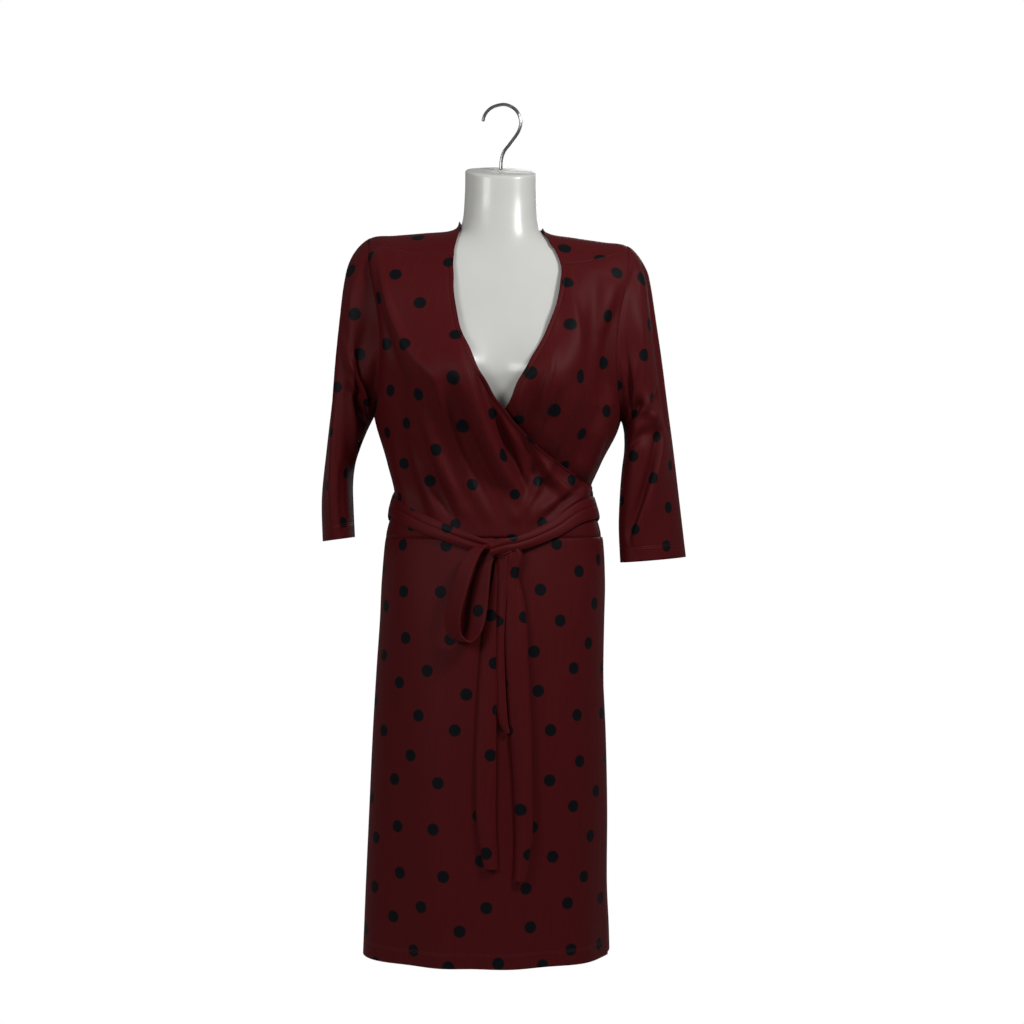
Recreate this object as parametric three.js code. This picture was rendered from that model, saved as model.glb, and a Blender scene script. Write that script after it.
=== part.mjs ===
// A knee-length wrap dress with three-quarter sleeves and a tied belt, worn by a
// hanging torso form with a wire hook. Millimetres, +Z up, the front faces -Y and
// the origin is the underside of the hook's crown, where a rail carries it.
import * as THREE from "three";

// Driving dimensions
const CLOTH = 1.6; // one layer of jersey
const BELT_CLOTH = 2.2; // the belt is two layers, sewn as a flat tube
const LAP = 4.2; // how far the overlapping front stands outside the one beneath it
const SHOULDER_RISE = 3.2; // how far the cloth's surface stands above the form's shoulders
const WIRE = 4.6; // diameter of the hook's wire
const HEM_Z = -1176;
const WAIST_SEAM_Z = -603;
const FORM_BASE_Z = -800;
const SHOULDER_TILT = 0.032; // the form hangs with one shoulder a little low
const BOXY = 0.045; // how much fuller than an ellipse a ring is between its axes

const BURGUNDY = 0x6a1c24;
const WHITE_PLASTIC = 0xe6e6e2;
const CHROME = 0xb8b8b8;

const degrees = (d) => (d * Math.PI) / 180;
const mix = (a, b, t) => a + (b - a) * t;
const clamp = (x, low, high) => Math.min(high, Math.max(low, x));
const smooth = (low, high, x) => {
  const t = clamp((x - low) / (high - low), 0, 1);
  return t * t * (3 - 2 * t);
};

// Rings from the form's neck cap down to the hem. The z columns give the height of
// each ring at its sides, front and back. The form's columns are its middle, half
// width, front and back depth. The cloth's are its left and right edge and depths.
const LEVEL_COLUMNS = [
  "zSide", "zFront", "zBack", "formX", "formHalf", "formFront", "formBack",
  "clothLeft", "clothRight", "clothFront", "clothBack",
];
const LEVELS = [
  [-93, -108, -78, -5.6, 50, 50, 50, -60, 49, 54, 54],
  [-124, -142, -112, -5.6, 50.5, 51, 53, -61, 49.5, 55, 57],
  [-163, -178, -152, -6, 53.5, 56, 60, -63.5, 51.5, 60, 64],
  [-179.5, -205, -182, -6.5, 63, 63, 70, -73, 60, 67, 74],
  [-185, -234, -208, -7.5, 102, 73, 82, -113, 98, 77, 86],
  [-189.5, -264, -240, -8, 141, 85, 92, -153, 137, 89, 96],
  [-194, -292, -272, -8.5, 174, 96, 99, -187, 170, 100, 103],
  [-218, -324, -310, -8.5, 190, 106, 104, -204, 187, 111, 109],
  [-272, -352, -347, -9, 184, 113, 106, -202, 184, 119, 112],
  [-340, -378, -376, -9, 167, 116, 104, -195, 177, 123, 112],
  [-402, -402, -402, -9, 154, 112, 99, -186, 168, 123, 110],
  [-450, -450, -450, -10, 143, 104, 93, -178, 158, 120, 106],
  [-500, -500, -500, -14, 133, 96, 87, -162, 134, 114, 100],
  [-545, -545, -545, -16.5, 129, 92, 84, -152, 119, 109, 96],
  [-600, -600, -600, -17, 137, 97, 98, -165, 132, 113, 108],
  [-660, -660, -660, -18, 148, 103, 114, -171, 136, 118, 124],
  [-720, -720, -720, -18, 152, 106, 120, -173.5, 136, 122, 131],
  [-790, -790, -790, -18, 152, 104, 118, -178, 137, 124, 132],
  [-880, -880, -880, -18, 150, 100, 112, -183, 141, 126, 131],
  [-980, -980, -980, -18, 150, 100, 112, -187.5, 143, 127, 129],
  [-1080, -1080, -1080, -18, 150, 100, 112, -192, 142.5, 128, 128],
  [-1140, -1140, -1140, -18, 150, 100, 112, -194.5, 145, 128, 127],
  [HEM_Z, HEM_Z, HEM_Z, -18, 150, 100, 112, -196, 146, 128, 127],
];

// One smooth value between four neighbours of a list, at a fractional place in it.
function between(list, place, read = (v) => v) {
  const last = list.length - 1;
  const i = Math.floor(clamp(place, 0, last - 1e-9));
  const t = place - i;
  const v = [-1, 0, 1, 2].map((d) => read(list[clamp(i + d, 0, last)]));
  const bend = (v[0] - v[2]) * -0.5;
  const bend2 = (v[1] - v[3]) * -0.5;
  const d = v[2] - v[1];
  return v[1] + t * (bend + t * (3 * d - 2 * bend - bend2 + t * (bend + bend2 - 2 * d)));
}

const levelAt = (level) =>
  Object.fromEntries(LEVEL_COLUMNS.map((name, c) => [name, between(LEVELS, level, (r) => r[c])]));

// The level of a height, where the rings lie flat.
function levelOfHeight(z) {
  let low = 10;
  let high = LEVELS.length - 1;
  for (let i = 0; i < 40; i++) {
    const middle = (low + high) / 2;
    if (between(LEVELS, middle, (r) => r[0]) > z) low = middle;
    else high = middle;
  }
  return (low + high) / 2;
}
const WAIST = levelOfHeight(WAIST_SEAM_Z);
const HEM = LEVELS.length - 1;
const BELT_TOP = levelOfHeight(-560); // the belt holds the folds flat from here down

// The bust of a general figure, as two soft mounds, and the cloth that spans them.
const BUST = { x: 72, z: -388, wide: 37, high: 42, rise: 34 };
const SPAN = { z: -425, wide: 40, high: 52, rise: 13 };
const bell = (d, width) => Math.exp(-(d * d) / (2 * width * width));
const bust = (x, z) =>
  BUST.rise * (bell(x - BUST.x, BUST.wide) + bell(x + BUST.x, BUST.wide)) * bell(z - BUST.z, BUST.high);
const span = (x, z) => SPAN.rise * bell(x, SPAN.wide) * bell(z - SPAN.z, SPAN.high);

// A point on a ring. Angle 0 is the image's right, -90 degrees the front.
function ringPoint(angle, level, cloth) {
  const row = levelAt(level);
  const c = Math.cos(angle);
  const s = Math.sin(angle);
  const front = s < 0;
  const full = 1 + BOXY * Math.sin(2 * angle) ** 2;
  const middle = cloth ? (row.clothLeft + row.clothRight) / 2 : row.formX;
  const half = cloth ? (row.clothRight - row.clothLeft) / 2 : row.formHalf;
  const deepFront = cloth ? row.clothFront : row.formFront;
  const deepBack = cloth ? row.clothBack : row.formBack;
  const x = middle + half * c * full;
  const zEnd = front ? row.zFront : row.zBack;
  const share = mix(Math.abs(s), s * s, smooth(0, 3, level)); // the neck's cap is a flat slope
  let z = row.zSide + (zEnd - row.zSide) * share;
  let y = (front ? deepFront : deepBack) * s * full;
  if (front) {
    const mound = bust(x - row.formX, z) + (cloth ? span(x - row.formX, z) : 0);
    y -= mound * (1 - c ** 4);
  }
  z -= SHOULDER_TILT * (x - row.formX) * (1 - smooth(10, 13, level));
  if (cloth) z += SHOULDER_RISE * (1 - smooth(6, 9, level));
  return new THREE.Vector3(x, y, z);
}

// A surface's outward normal, from its own neighbouring points.
function normalOf(surface, a, b, outwards) {
  const step = 1e-3;
  const da = surface(a + step, b).sub(surface(a - step, b));
  const db = surface(a, b + step).sub(surface(a, b - step));
  const n = da.cross(db).normalize();
  return n.dot(outwards) < 0 ? n.negate() : n;
}

// The cloth's surface, moved out by a distance along its normal.
function clothPoint(angle, level, out) {
  const p = ringPoint(angle, level, true);
  const away = new THREE.Vector3(Math.cos(angle), Math.sin(angle), level < 7 ? 0.6 : 0);
  const n = normalOf((a, l) => ringPoint(a, l, true), angle, level, away);
  return p.addScaledVector(n, out);
}

// Where the front of the cloth has this x and z, as [angle, level].
function locate(x, z) {
  let best = [degrees(-90), 8];
  let reach = [degrees(90), 7];
  for (let round = 0; round < 9; round++) {
    let found = best;
    let least = Infinity;
    for (let i = -6; i <= 6; i++) {
      for (let j = -6; j <= 6; j++) {
        const at = [best[0] + (reach[0] * i) / 6, clamp(best[1] + (reach[1] * j) / 6, 1.5, 16)];
        const p = ringPoint(at[0], at[1], true);
        const miss = Math.hypot(p.x - x, p.z - z) + (p.y > 25 ? 500 : 0);
        if (miss < least) [least, found] = [miss, at];
      }
    }
    best = found;
    reach = reach.map((r) => r / 2.6);
  }
  return best;
}

// The folds that the pull of the wrap and the belt draws in the cloth, as seen from
// the front: a ridge, or with a negative rise a trough, from one point to another.
const FOLD_COLUMNS = ["x0", "z0", "x1", "z1", "bow", "width", "rise"];
const table = (columns, rows) =>
  rows.map((r) => Object.fromEntries(columns.map((name, c) => [name, r[c]])));
const FRONT_FOLDS = table(FOLD_COLUMNS, [
  [-172, -205, -58, -430, 14, 16, 7],
  [-186, -240, -112, -460, 10, 15, -7],
  [-66, -330, 36, -580, 16, 14, 7],
  [-104, -350, 2, -590, 14, 13, -6],
  [-128, -400, -40, -590, 10, 13, 5],
  [-28, -380, 84, -575, 12, 12, -5],
  [112, -240, 60, -440, -12, 15, 6],
  [162, -270, 120, -460, -6, 14, -7],
]);
const BACK_FOLDS = table(FOLD_COLUMNS, [
  [-126, -300, -80, -580, -10, 18, 5],
  [112, -310, 54, -580, 10, 18, 5],
  [-34, -400, -30, -590, 4, 16, -4],
]);
// The skirt's hanging waves: the angle at the waist and at the hem, the half width,
// and the rise at the waist and at the hem.
const WAVES = table(["top", "bottom", "width", "riseTop", "riseBottom"], [
  [-158, -150, 9, -1, 4],
  [-138, -126, 8, 2, -5],
  [-120, -108, 8, -2, 4],
  [-104, -98, 6, 2.5, -3],
  [-88, -80, 7, -2.5, 4],
  [-72, -62, 7, 2, -4],
  [-54, -44, 7, -2, 3],
  [-34, -28, 8, 1.5, -2],
  [32, 28, 10, 2, 4],
  [58, 56, 9, -2.5, -5],
  [84, 86, 9, 2, 5],
  [108, 112, 9, -2, -4],
  [136, 138, 10, 2, 5],
]);
function foldRise(folds, x, z) {
  let total = 0;
  for (const f of folds) {
    const dx = f.x1 - f.x0;
    const dz = f.z1 - f.z0;
    const length = Math.hypot(dx, dz);
    const along = ((x - f.x0) * dx + (z - f.z0) * dz) / (length * length);
    if (along <= 0 || along >= 1) continue;
    const across = ((x - f.x0) * dz - (z - f.z0) * dx) / length;
    const off = across - f.bow * 4 * along * (1 - along);
    total += f.rise * bell(off, f.width) * Math.sin(Math.PI * along) ** 0.8;
  }
  return total;
}
const turned = (angle) => angle - 2 * Math.PI * Math.round(angle / (2 * Math.PI));
function waveRise(angle, level) {
  const t = clamp((level - WAIST) / (HEM - WAIST), 0, 1);
  let total = 0;
  for (const w of WAVES) {
    const off = turned(angle - degrees(mix(w.top, w.bottom, t)));
    total += mix(w.riseTop, w.riseBottom, t) * bell(off, degrees(w.width));
  }
  return total * smooth(0, 0.12, t);
}

// The armhole, an oval round each side of the body. Turn 0 is its top, 90 degrees
// its front, 180 the underarm, and size shrinks it for the sleeve that fills it.
const ARMHOLE = { top: 6, bottom: 10.7, spread: degrees(35), steps: 24 };
const RIGHT = 0;
const LEFT = Math.PI;
function armhole(side, turn, size = 1) {
  const middle = (ARMHOLE.top + ARMHOLE.bottom) / 2;
  const half = ((ARMHOLE.bottom - ARMHOLE.top) / 2) * size;
  const swing = ARMHOLE.spread * size * Math.sin(turn);
  const angle = side === RIGHT ? -swing : -LEFT + swing;
  return [angle, middle - half * Math.cos(turn)];
}

// How far the folds lift the cloth at a place: none at the armholes and seams.
function riseAt(angle, level) {
  const a = turned(angle);
  const fromSide = Math.min(Math.abs(a), Math.PI - Math.abs(a));
  const sides = smooth(0, degrees(14), fromSide);
  if (level > WAIST) return waveRise(a, level) * sides;
  const middle = (ARMHOLE.top + ARMHOLE.bottom) / 2;
  const half = (ARMHOLE.bottom - ARMHOLE.top) / 2;
  const away = Math.hypot(fromSide / ARMHOLE.spread, (level - middle) / half) - 1;
  const belt = smooth(BELT_TOP, BELT_TOP - 1, level);
  const fade = sides * belt * smooth(0, 0.3, away) * smooth(4.8, 6.2, level);
  if (fade <= 0) return 0;
  const p = ringPoint(a, level, true);
  return foldRise(a < 0 ? FRONT_FOLDS : BACK_FOLDS, p.x, p.z) * fade;
}

// A closed solid from rows of points: every row is a closed ring, or an open strip
// whose ends are shared. Faces are turned to point out.
function solidFrom(points, faces) {
  const positions = new Float32Array(points.length * 3);
  points.forEach((p, i) => positions.set([p.x, p.y, p.z], i * 3));
  let volume = 0;
  const cross = new THREE.Vector3();
  for (const [a, b, c] of faces) {
    volume += cross.crossVectors(points[b], points[c]).dot(points[a]);
  }
  const turned = volume < 0 ? faces.map(([a, b, c]) => [a, c, b]) : faces;
  const geometry = new THREE.BufferGeometry();
  geometry.setAttribute("position", new THREE.BufferAttribute(positions, 3));
  geometry.setIndex(turned.flat());
  geometry.computeVertexNormals();
  return geometry;
}

// A wall of cloth: surface(u, v) is its outer face, and side tells which way its
// normal points. With ring true it closes on itself along u.
function clothWall(surface, across, down, thickness, side, ring = false) {
  const columns = ring ? across : across + 1;
  const grid = [];
  for (let j = 0; j <= down; j++) {
    for (let i = 0; i < columns; i++) grid.push(surface(i / across, j / down));
  }
  const at = (i, j) => j * columns + (ring ? (i + across) % across : i);
  const points = [...grid];
  for (let j = 0; j <= down; j++) {
    for (let i = 0; i < columns; i++) {
      const i0 = ring ? i - 1 : Math.max(i - 1, 0);
      const i1 = ring ? i + 1 : Math.min(i + 1, across);
      const du = grid[at(i1, j)].clone().sub(grid[at(i0, j)]);
      const dv = grid[at(i, Math.min(j + 1, down))].clone().sub(grid[at(i, Math.max(j - 1, 0))]);
      const n = du.cross(dv).normalize().multiplyScalar(side);
      points.push(grid[at(i, j)].clone().addScaledVector(n, -thickness));
    }
  }
  const inner = grid.length;
  const faces = [];
  const quad = (a, b, c, d) => faces.push([a, b, c], [a, c, d]);
  for (let j = 0; j < down; j++) {
    for (let i = 0; i < across; i++) {
      quad(at(i, j), at(i + 1, j), at(i + 1, j + 1), at(i, j + 1));
      quad(at(i, j) + inner, at(i, j + 1) + inner, at(i + 1, j + 1) + inner, at(i + 1, j) + inner);
    }
  }
  for (let i = 0; i < across; i++) {
    quad(at(i, 0), at(i, 0) + inner, at(i + 1, 0) + inner, at(i + 1, 0));
    quad(at(i, down), at(i + 1, down), at(i + 1, down) + inner, at(i, down) + inner);
  }
  if (!ring) {
    for (let j = 0; j < down; j++) {
      quad(at(0, j), at(0, j + 1), at(0, j + 1) + inner, at(0, j) + inner);
      quad(at(across, j), at(across, j) + inner, at(across, j + 1) + inner, at(across, j + 1));
    }
  }
  return solidFrom(points, faces);
}

// A smooth curve through places of a panel, by its share of their spacing.
function curveThrough(places) {
  const far = [0];
  for (let i = 1; i < places.length; i++) {
    const a = clothPoint(places[i - 1][0], places[i - 1][1], 0);
    far.push(far[i - 1] + a.distanceTo(clothPoint(places[i][0], places[i][1], 0)));
  }
  return (t) => {
    const want = clamp(t, 0, 1) * far[far.length - 1];
    let i = 1;
    while (i < far.length - 1 && far[i] < want) i++;
    const place = i - 1 + (want - far[i - 1]) / (far[i] - far[i - 1]);
    return [0, 1].map((c) => between(places, clamp(place, 0, places.length - 1), (p) => p[c]));
  };
}

// Two curves end to end, the first taking this share.
const chain = (first, second, share) => (t) =>
  t < share ? first(t / share) : second((t - share) / (1 - share));
const line = (a, b) => (t) => [mix(a[0], b[0], t), mix(a[1], b[1], t)];

// A panel between four edges: top and bottom run along u, start and end along v.
function panel(top, bottom, start, end) {
  const corners = [top(0), top(1), bottom(0), bottom(1)];
  return (u, v) =>
    [0, 1].map(
      (c) =>
        mix(top(u)[c], bottom(u)[c], v) + mix(start(v)[c], end(v)[c], u) -
        mix(mix(corners[0][c], corners[1][c], u), mix(corners[2][c], corners[3][c], u), v),
    );
}

const YOKE_TURN = degrees(30); // where the forward shoulder seam meets the armhole
const SLEEVE_SHRINK = 0.975; // the sleeve's first section, inside the armhole
const EDGE = 0.0022; // half of a seam's gap, as an angle round the body
const DROP = 0.005; // the same, in levels

// The overlapping front's edge, then the under front's, as seen from the front:
// from the shoulder seam to the crossing and on to the waist.
const OVER_EDGE = [
  [-69, -216], [-69, -248], [-66, -290], [-57, -332], [-46, -356], [-33, -382],
  [-16, -410], [2, -433], [20, -456], [47, -482], [74, -503], [100, -521],
];
const UNDER_EDGE = [
  [76, -230], [75, -258], [69, -290], [59, -318], [48, -342], [34, -366],
  [20, -392], [3, -428], [-34, -462], [-78, -495], [-118, -530],
];
const OVER_END = degrees(-6);
const WRAP_END_LEVEL = levelOfHeight(-536);
const UNDER_END = degrees(-158);
const UNDER_END_LEVEL = levelOfHeight(-560);

const overEdge = curveThrough([...OVER_EDGE.map(([x, z]) => locate(x, z)), [OVER_END, WRAP_END_LEVEL]]);
const underEdge = curveThrough([...UNDER_EDGE.map(([x, z]) => locate(x, z)), [UNDER_END, UNDER_END_LEVEL]]);

const FRONT_ARM = 10; // steps of the armhole on a front panel, and down its side seam
const FRONT_ROWS = FRONT_ARM + 7;
const armEdge = (side) => (t) => armhole(side, mix(YOKE_TURN, Math.PI, t));
const overPanel = panel(
  line(armhole(LEFT, YOKE_TURN), overEdge(0)),
  line([-LEFT + EDGE, WAIST - DROP], [OVER_END, WAIST - DROP]),
  chain(armEdge(LEFT), line([-LEFT + EDGE, ARMHOLE.bottom], [-LEFT + EDGE, WAIST - DROP]), FRONT_ARM / FRONT_ROWS),
  chain(overEdge, line([OVER_END, WRAP_END_LEVEL], [OVER_END, WAIST - DROP]), 0.86),
);
const underPanel = panel(
  line(armhole(RIGHT, YOKE_TURN), underEdge(0)),
  line([-EDGE, WAIST - DROP], [UNDER_END, WAIST - DROP]),
  chain(armEdge(RIGHT), line([-EDGE, ARMHOLE.bottom], [-EDGE, WAIST - DROP]), FRONT_ARM / FRONT_ROWS),
  chain(underEdge, line([UNDER_END, UNDER_END_LEVEL], [UNDER_END, WAIST - DROP]), 0.92),
);

// The back comes forward over the shoulders to the seams, and rises round the neck.
const turnBack = (place) => [place[0] + 2 * Math.PI, place[1]];
const rightNeck = underEdge(0);
const leftNeck = turnBack(overEdge(0));
const SEAM_LIFT = 0.012; // how far the back stops short of the front at the shoulder seam
const lifted = (place) => [place[0], place[1] - SEAM_LIFT];
const backNeck = curveThrough([
  lifted(rightNeck), lifted(locate(70, -214)), lifted(locate(61, -200)), [degrees(-6), 2.5],
  [degrees(30), 2.5], [degrees(60), 2.5], [degrees(90), 2.5], [degrees(120), 2.4], [degrees(150), 2.3],
  [degrees(186), 2.2], turnBack(lifted(locate(-67, -190))), lifted(leftNeck),
]);
const BACK_SEAM = 4; // rows of the back beside the shoulder seam, the armhole and the side
const BACK_ARM = 14;
const BACK_ROWS = BACK_SEAM + BACK_ARM + 6;
const backArm = (side) => {
  const past = side === LEFT ? turnBack : (p) => p;
  return (t) => past(armhole(side, mix(YOKE_TURN, -Math.PI, t)));
};
const backSide = (side, neck) => {
  const arm = backArm(side);
  const x = side === RIGHT ? EDGE : Math.PI - EDGE;
  return chain(
    chain(line(lifted(neck), lifted(arm(0))), (t) => (t < 0.04 ? lifted(arm(t)) : arm(t)), BACK_SEAM / (BACK_SEAM + BACK_ARM)),
    line([x, ARMHOLE.bottom], [x, WAIST - DROP]),
    (BACK_SEAM + BACK_ARM) / BACK_ROWS,
  );
};
const backPanel = panel(
  backNeck,
  line([EDGE, WAIST - DROP], [Math.PI - EDGE, WAIST - DROP]),
  backSide(RIGHT, rightNeck),
  backSide(LEFT, leftNeck),
);

// The cloth at a place of a panel. The lap fades away where it is sewn to one layer.
const laid = (place, lift) => (u, v) => {
  const [angle, level] = place(u, v);
  return clothPoint(angle, level, lift(u, v) + riseAt(angle, level));
};
const overLift = (u, v) => LAP * smooth(0, 0.14, u) * smooth(0, 0.12, v);
const skirtLift = (u) => LAP * smooth(0, 0.14, u);
const flat = () => 0;
// The under front lies closer to the body where the other front covers it.
const TUCK = { depth: 4.4, x: 2, z: -433, slope: degrees(-41) };
function underLift(u, v) {
  const p = clothPoint(...underPanel(u, v), 0);
  const below = (p.x - TUCK.x) * Math.sin(TUCK.slope) - (p.z - TUCK.z) * Math.cos(TUCK.slope);
  return -TUCK.depth * smooth(-16, 8, below) * smooth(0, 0.04, u) * smooth(1, 0.94, v);
}

// The skirt: the wrap's edge leans a little forward from the waist to the hem.
const SKIRT_EDGE = { waist: OVER_END, hem: degrees(-20), under: degrees(-160) };
const down = (v) => mix(WAIST + DROP, HEM, v);
const skirtOver = (u, v) => [mix(-LEFT + EDGE, mix(SKIRT_EDGE.waist, SKIRT_EDGE.hem, smooth(0, 0.5, v)), u), down(v)];
const skirtUnder = (u, v) => [mix(-EDGE, SKIRT_EDGE.under, u), down(v)];
const skirtBack = (u, v) => [mix(EDGE, Math.PI - EDGE, u), down(v)];

// A sleeve is a tube whose sections run from the outer to the inner silhouette. The
// first section is the armhole itself, and the tube leaves it by the fourth.
const SLEEVE_COLUMNS = ["outX", "outZ", "inX", "inZ", "outY", "inY", "depth"];
const SLEEVE_WEARERS_RIGHT = table(SLEEVE_COLUMNS, [
  [-188, -186, -182, -436, 0, 0, 66],
  [-203, -193, -186, -440, 0, 0, 67],
  [-214, -209, -188, -444, 0, 0, 68],
  [-221, -240, -191, -450, 0, 0, 68],
  [-227, -288, -196, -461, 0, 0, 67],
  [-234, -345, -203, -479, 1, -1, 66],
  [-241, -412, -210, -502, 2, -2, 64],
  [-249, -480, -213, -530, 3, -3, 62],
  [-256, -548, -212, -563, 4, -4, 60],
  [-255, -609, -210, -603, 5, -5, 58],
]);
const SLEEVE_WEARERS_LEFT = table(SLEEVE_COLUMNS, [
  [171, -196, 165, -444, 0, 0, 66],
  [185, -203, 167, -450, 0, 0, 67],
  [197, -224, 167, -457, 2, -1, 67],
  [204, -252, 167, -464, 4, -3, 65],
  [212, -303, 167, -474, 7, -6, 62],
  [220, -355, 166, -488, 10, -9, 57],
  [228, -415, 163, -508, 14, -13, 52],
  [237, -481, 160, -541, 17, -16, 47],
  [246, -555, 158, -588, 19, -18, 43],
  [255, -631, 160, -638, 20, -20, 41],
]);
// Creases of a sleeve: from one turn and share of its length to another.
const CREASE_COLUMNS = ["turn0", "along0", "turn1", "along1", "width", "rise"];
const CREASES_RIGHT = table(CREASE_COLUMNS, [
  [70, 0.05, 78, 0.96, 9, -4],
  [40, 0.12, 56, 0.62, 9, 3],
  [120, 0.3, 104, 0.8, 9, 3.5],
  [-70, 0.2, -86, 0.9, 10, -4],
  [-40, 0.35, -62, 0.85, 10, 3],
]);
const CREASES_LEFT = table(CREASE_COLUMNS, [
  [64, 0.5, 132, 0.9, 8, -5],
  [40, 0.42, 96, 0.52, 8, 4],
  [38, 0.52, 100, 0.6, 8, -4],
  [84, 0.08, 70, 0.42, 10, -4],
  [-60, 0.2, -80, 0.85, 10, -4],
  [-36, 0.4, -96, 0.62, 10, 4],
]);
function creaseRise(creases, turn, along) {
  let total = 0;
  for (const c of creases) {
    const da = c.turn1 - c.turn0;
    const dt = (c.along1 - c.along0) * 360;
    const length = Math.hypot(da, dt);
    const a = turn - c.turn0;
    const t = (along - c.along0) * 360;
    const place = (a * da + t * dt) / (length * length);
    if (place <= 0 || place >= 1) continue;
    total += c.rise * bell((a * dt - t * da) / length, c.width) * Math.sin(Math.PI * place) ** 0.7;
  }
  return total;
}
function sleeveSurface(side, rows, creases) {
  const out = side === RIGHT ? 1 : -1;
  return (u, v) => {
    const turn = 2 * Math.PI * u;
    const place = v * (rows.length - 1);
    const r = Object.fromEntries(SLEEVE_COLUMNS.map((name) => [name, between(rows, place, (row) => row[name])]));
    const c = Math.cos(turn);
    const p = new THREE.Vector3(
      (r.outX + r.inX) / 2 + ((r.outX - r.inX) / 2) * c,
      (r.outY + r.inY) / 2 + ((r.outY - r.inY) / 2) * c - r.depth * Math.sin(turn),
      (r.outZ + r.inZ) / 2 + ((r.outZ - r.inZ) / 2) * c,
    );
    const [angle, level] = armhole(side, turn, SLEEVE_SHRINK);
    p.lerp(clothPoint(angle, level, 0.5 + 2.5 * smooth(0, 0.7, place)), 1 - smooth(0.2, 3, place));
    const signed = u > 0.5 ? u * 360 - 360 : u * 360;
    const rise = creaseRise(creases, signed, v) * smooth(0.04, 0.2, v);
    const away = new THREE.Vector3(out * c, -Math.sin(turn), 0.3 * c).normalize();
    return p.addScaledVector(away, rise);
  };
}

// A point on the front of the skirt or waist, moved out from the overlapping layer.
function frontPoint(x, z, out) {
  const level = levelOfHeight(z);
  const row = levelAt(level);
  const middle = (row.clothLeft + row.clothRight) / 2;
  const half = (row.clothRight - row.clothLeft) / 2;
  const angle = -Math.acos(clamp((x - middle) / half, -1, 1));
  return clothPoint(angle, level, LAP + riseAt(angle, level) + out);
}

// The two ties of the belt, each round the back to the knot: the angle, the height of
// the middle, the width, and how far the inner face stands off the dress.
const TIE_COLUMNS = ["angle", "z", "width", "off"];
const TIE_OVER = table(TIE_COLUMNS, [
  [3, -548, 20, 2.8], [30, -543, 24, 3], [60, -540, 26, 3.2], [90, -540, 26, 3.2], [120, -541, 26, 3.2],
  [150, -545, 26, 3.4], [168, -550, 26, 6.6], [190, -560, 27, 7.2], [207, -564, 26, 7],
  [222, -577, 25, 6.9], [239, -592, 24, 6.6], [252, -606, 22, 6.5], [266, -620, 17, 6.4],
]);
const TIE_UNDER = table(TIE_COLUMNS, [
  [179, -566, 18, 2], [168, -571, 20, 2], [150, -575, 24, 2], [120, -577, 26, 2.2], [90, -578, 26, 2.2],
  [60, -577, 26, 2.2], [34, -576, 26, 2.2], [18, -571, 28, 5.6], [0, -564, 31, 7.8], [-16, -563, 31, 7.6],
  [-28, -565, 29, 7.4], [-42, -572, 25, 7], [-58, -589, 20, 6.2], [-70, -603, 17, 6.2], [-77, -612, 15, 6.2],
]);
function tieSurface(rows) {
  return (u, v) => {
    const place = v * (rows.length - 1);
    const [a, z, width, off] = TIE_COLUMNS.map((name) => between(rows, place, (r) => r[name]));
    const level = levelOfHeight(z + (0.5 - u) * width);
    const angle = degrees(a);
    return clothPoint(angle, level, riseAt(angle, level) + off + BELT_CLOTH + 1.6 * Math.sin(Math.PI * u));
  };
}

// Hanging strips of the bow: the middle as seen from the front, how far it hangs in
// front of the skirt, its width, its turn out of the front plane, and its curl.
const STRIP_COLUMNS = ["x", "z", "out", "width", "turn", "curl"];
const LOOP = table(STRIP_COLUMNS, [
  [-24, -630, 10.2, 9, 0, 0], [-34, -643, 16, 16, 40, 0], [-47, -664, 18, 25, 60, 0],
  [-58, -694, 18, 27, 64, 0], [-65, -720, 18, 27, 62, 0], [-61, -738, 17, 27, 62, 0],
  [-48, -744, 16, 26, 54, 0], [-37, -733, 14, 26, 40, 0], [-32, -706, 13, 26, 32, 0],
  [-28, -678, 13, 23, 30, 0], [-20, -656, 14, 16, 30, 0], [-13, -643, 14, 11, 20, 0],
]);
const TAIL_OVER = table(STRIP_COLUMNS, [
  [-9, -641.5, 4.8, 14, 0, 1], [-12, -666, 4.3, 19, 4, 2], [-18, -710, 4.1, 23, 6, 3], [-22, -780, 4.1, 25, 4, 3],
  [-25, -880, 4.4, 27, 2, 2], [-24, -960, 4.4, 26, 2, 3], [-17, -1038, 4.4, 20, -3, 4],
]);
const TAIL_UNDER = table(STRIP_COLUMNS, [
  [7, -640.5, 5, 12, 0, 1], [13, -664, 5.2, 20, -6, 3], [13, -710, 5.2, 27, -6, 5], [14, -780, 5.2, 28, -3, 5],
  [19, -880, 5.2, 27, 2, 4], [22, -970, 5.2, 25, 4, 4], [23, -1056, 5.2, 15, 6, 3],
]);
function stripSurface(rows) {
  return (u, v) => {
    const place = v * (rows.length - 1);
    const [x, z, out, width, turn, curl] = STRIP_COLUMNS.map((name) => between(rows, place, (r) => r[name]));
    const s = 2 * u - 1;
    const p = frontPoint(x, z, out);
    p.x += Math.cos(degrees(turn)) * s * (width / 2);
    p.y -= Math.sin(degrees(turn)) * s * (width / 2) - curl * (s * s - 1);
    return p;
  };
}

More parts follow.
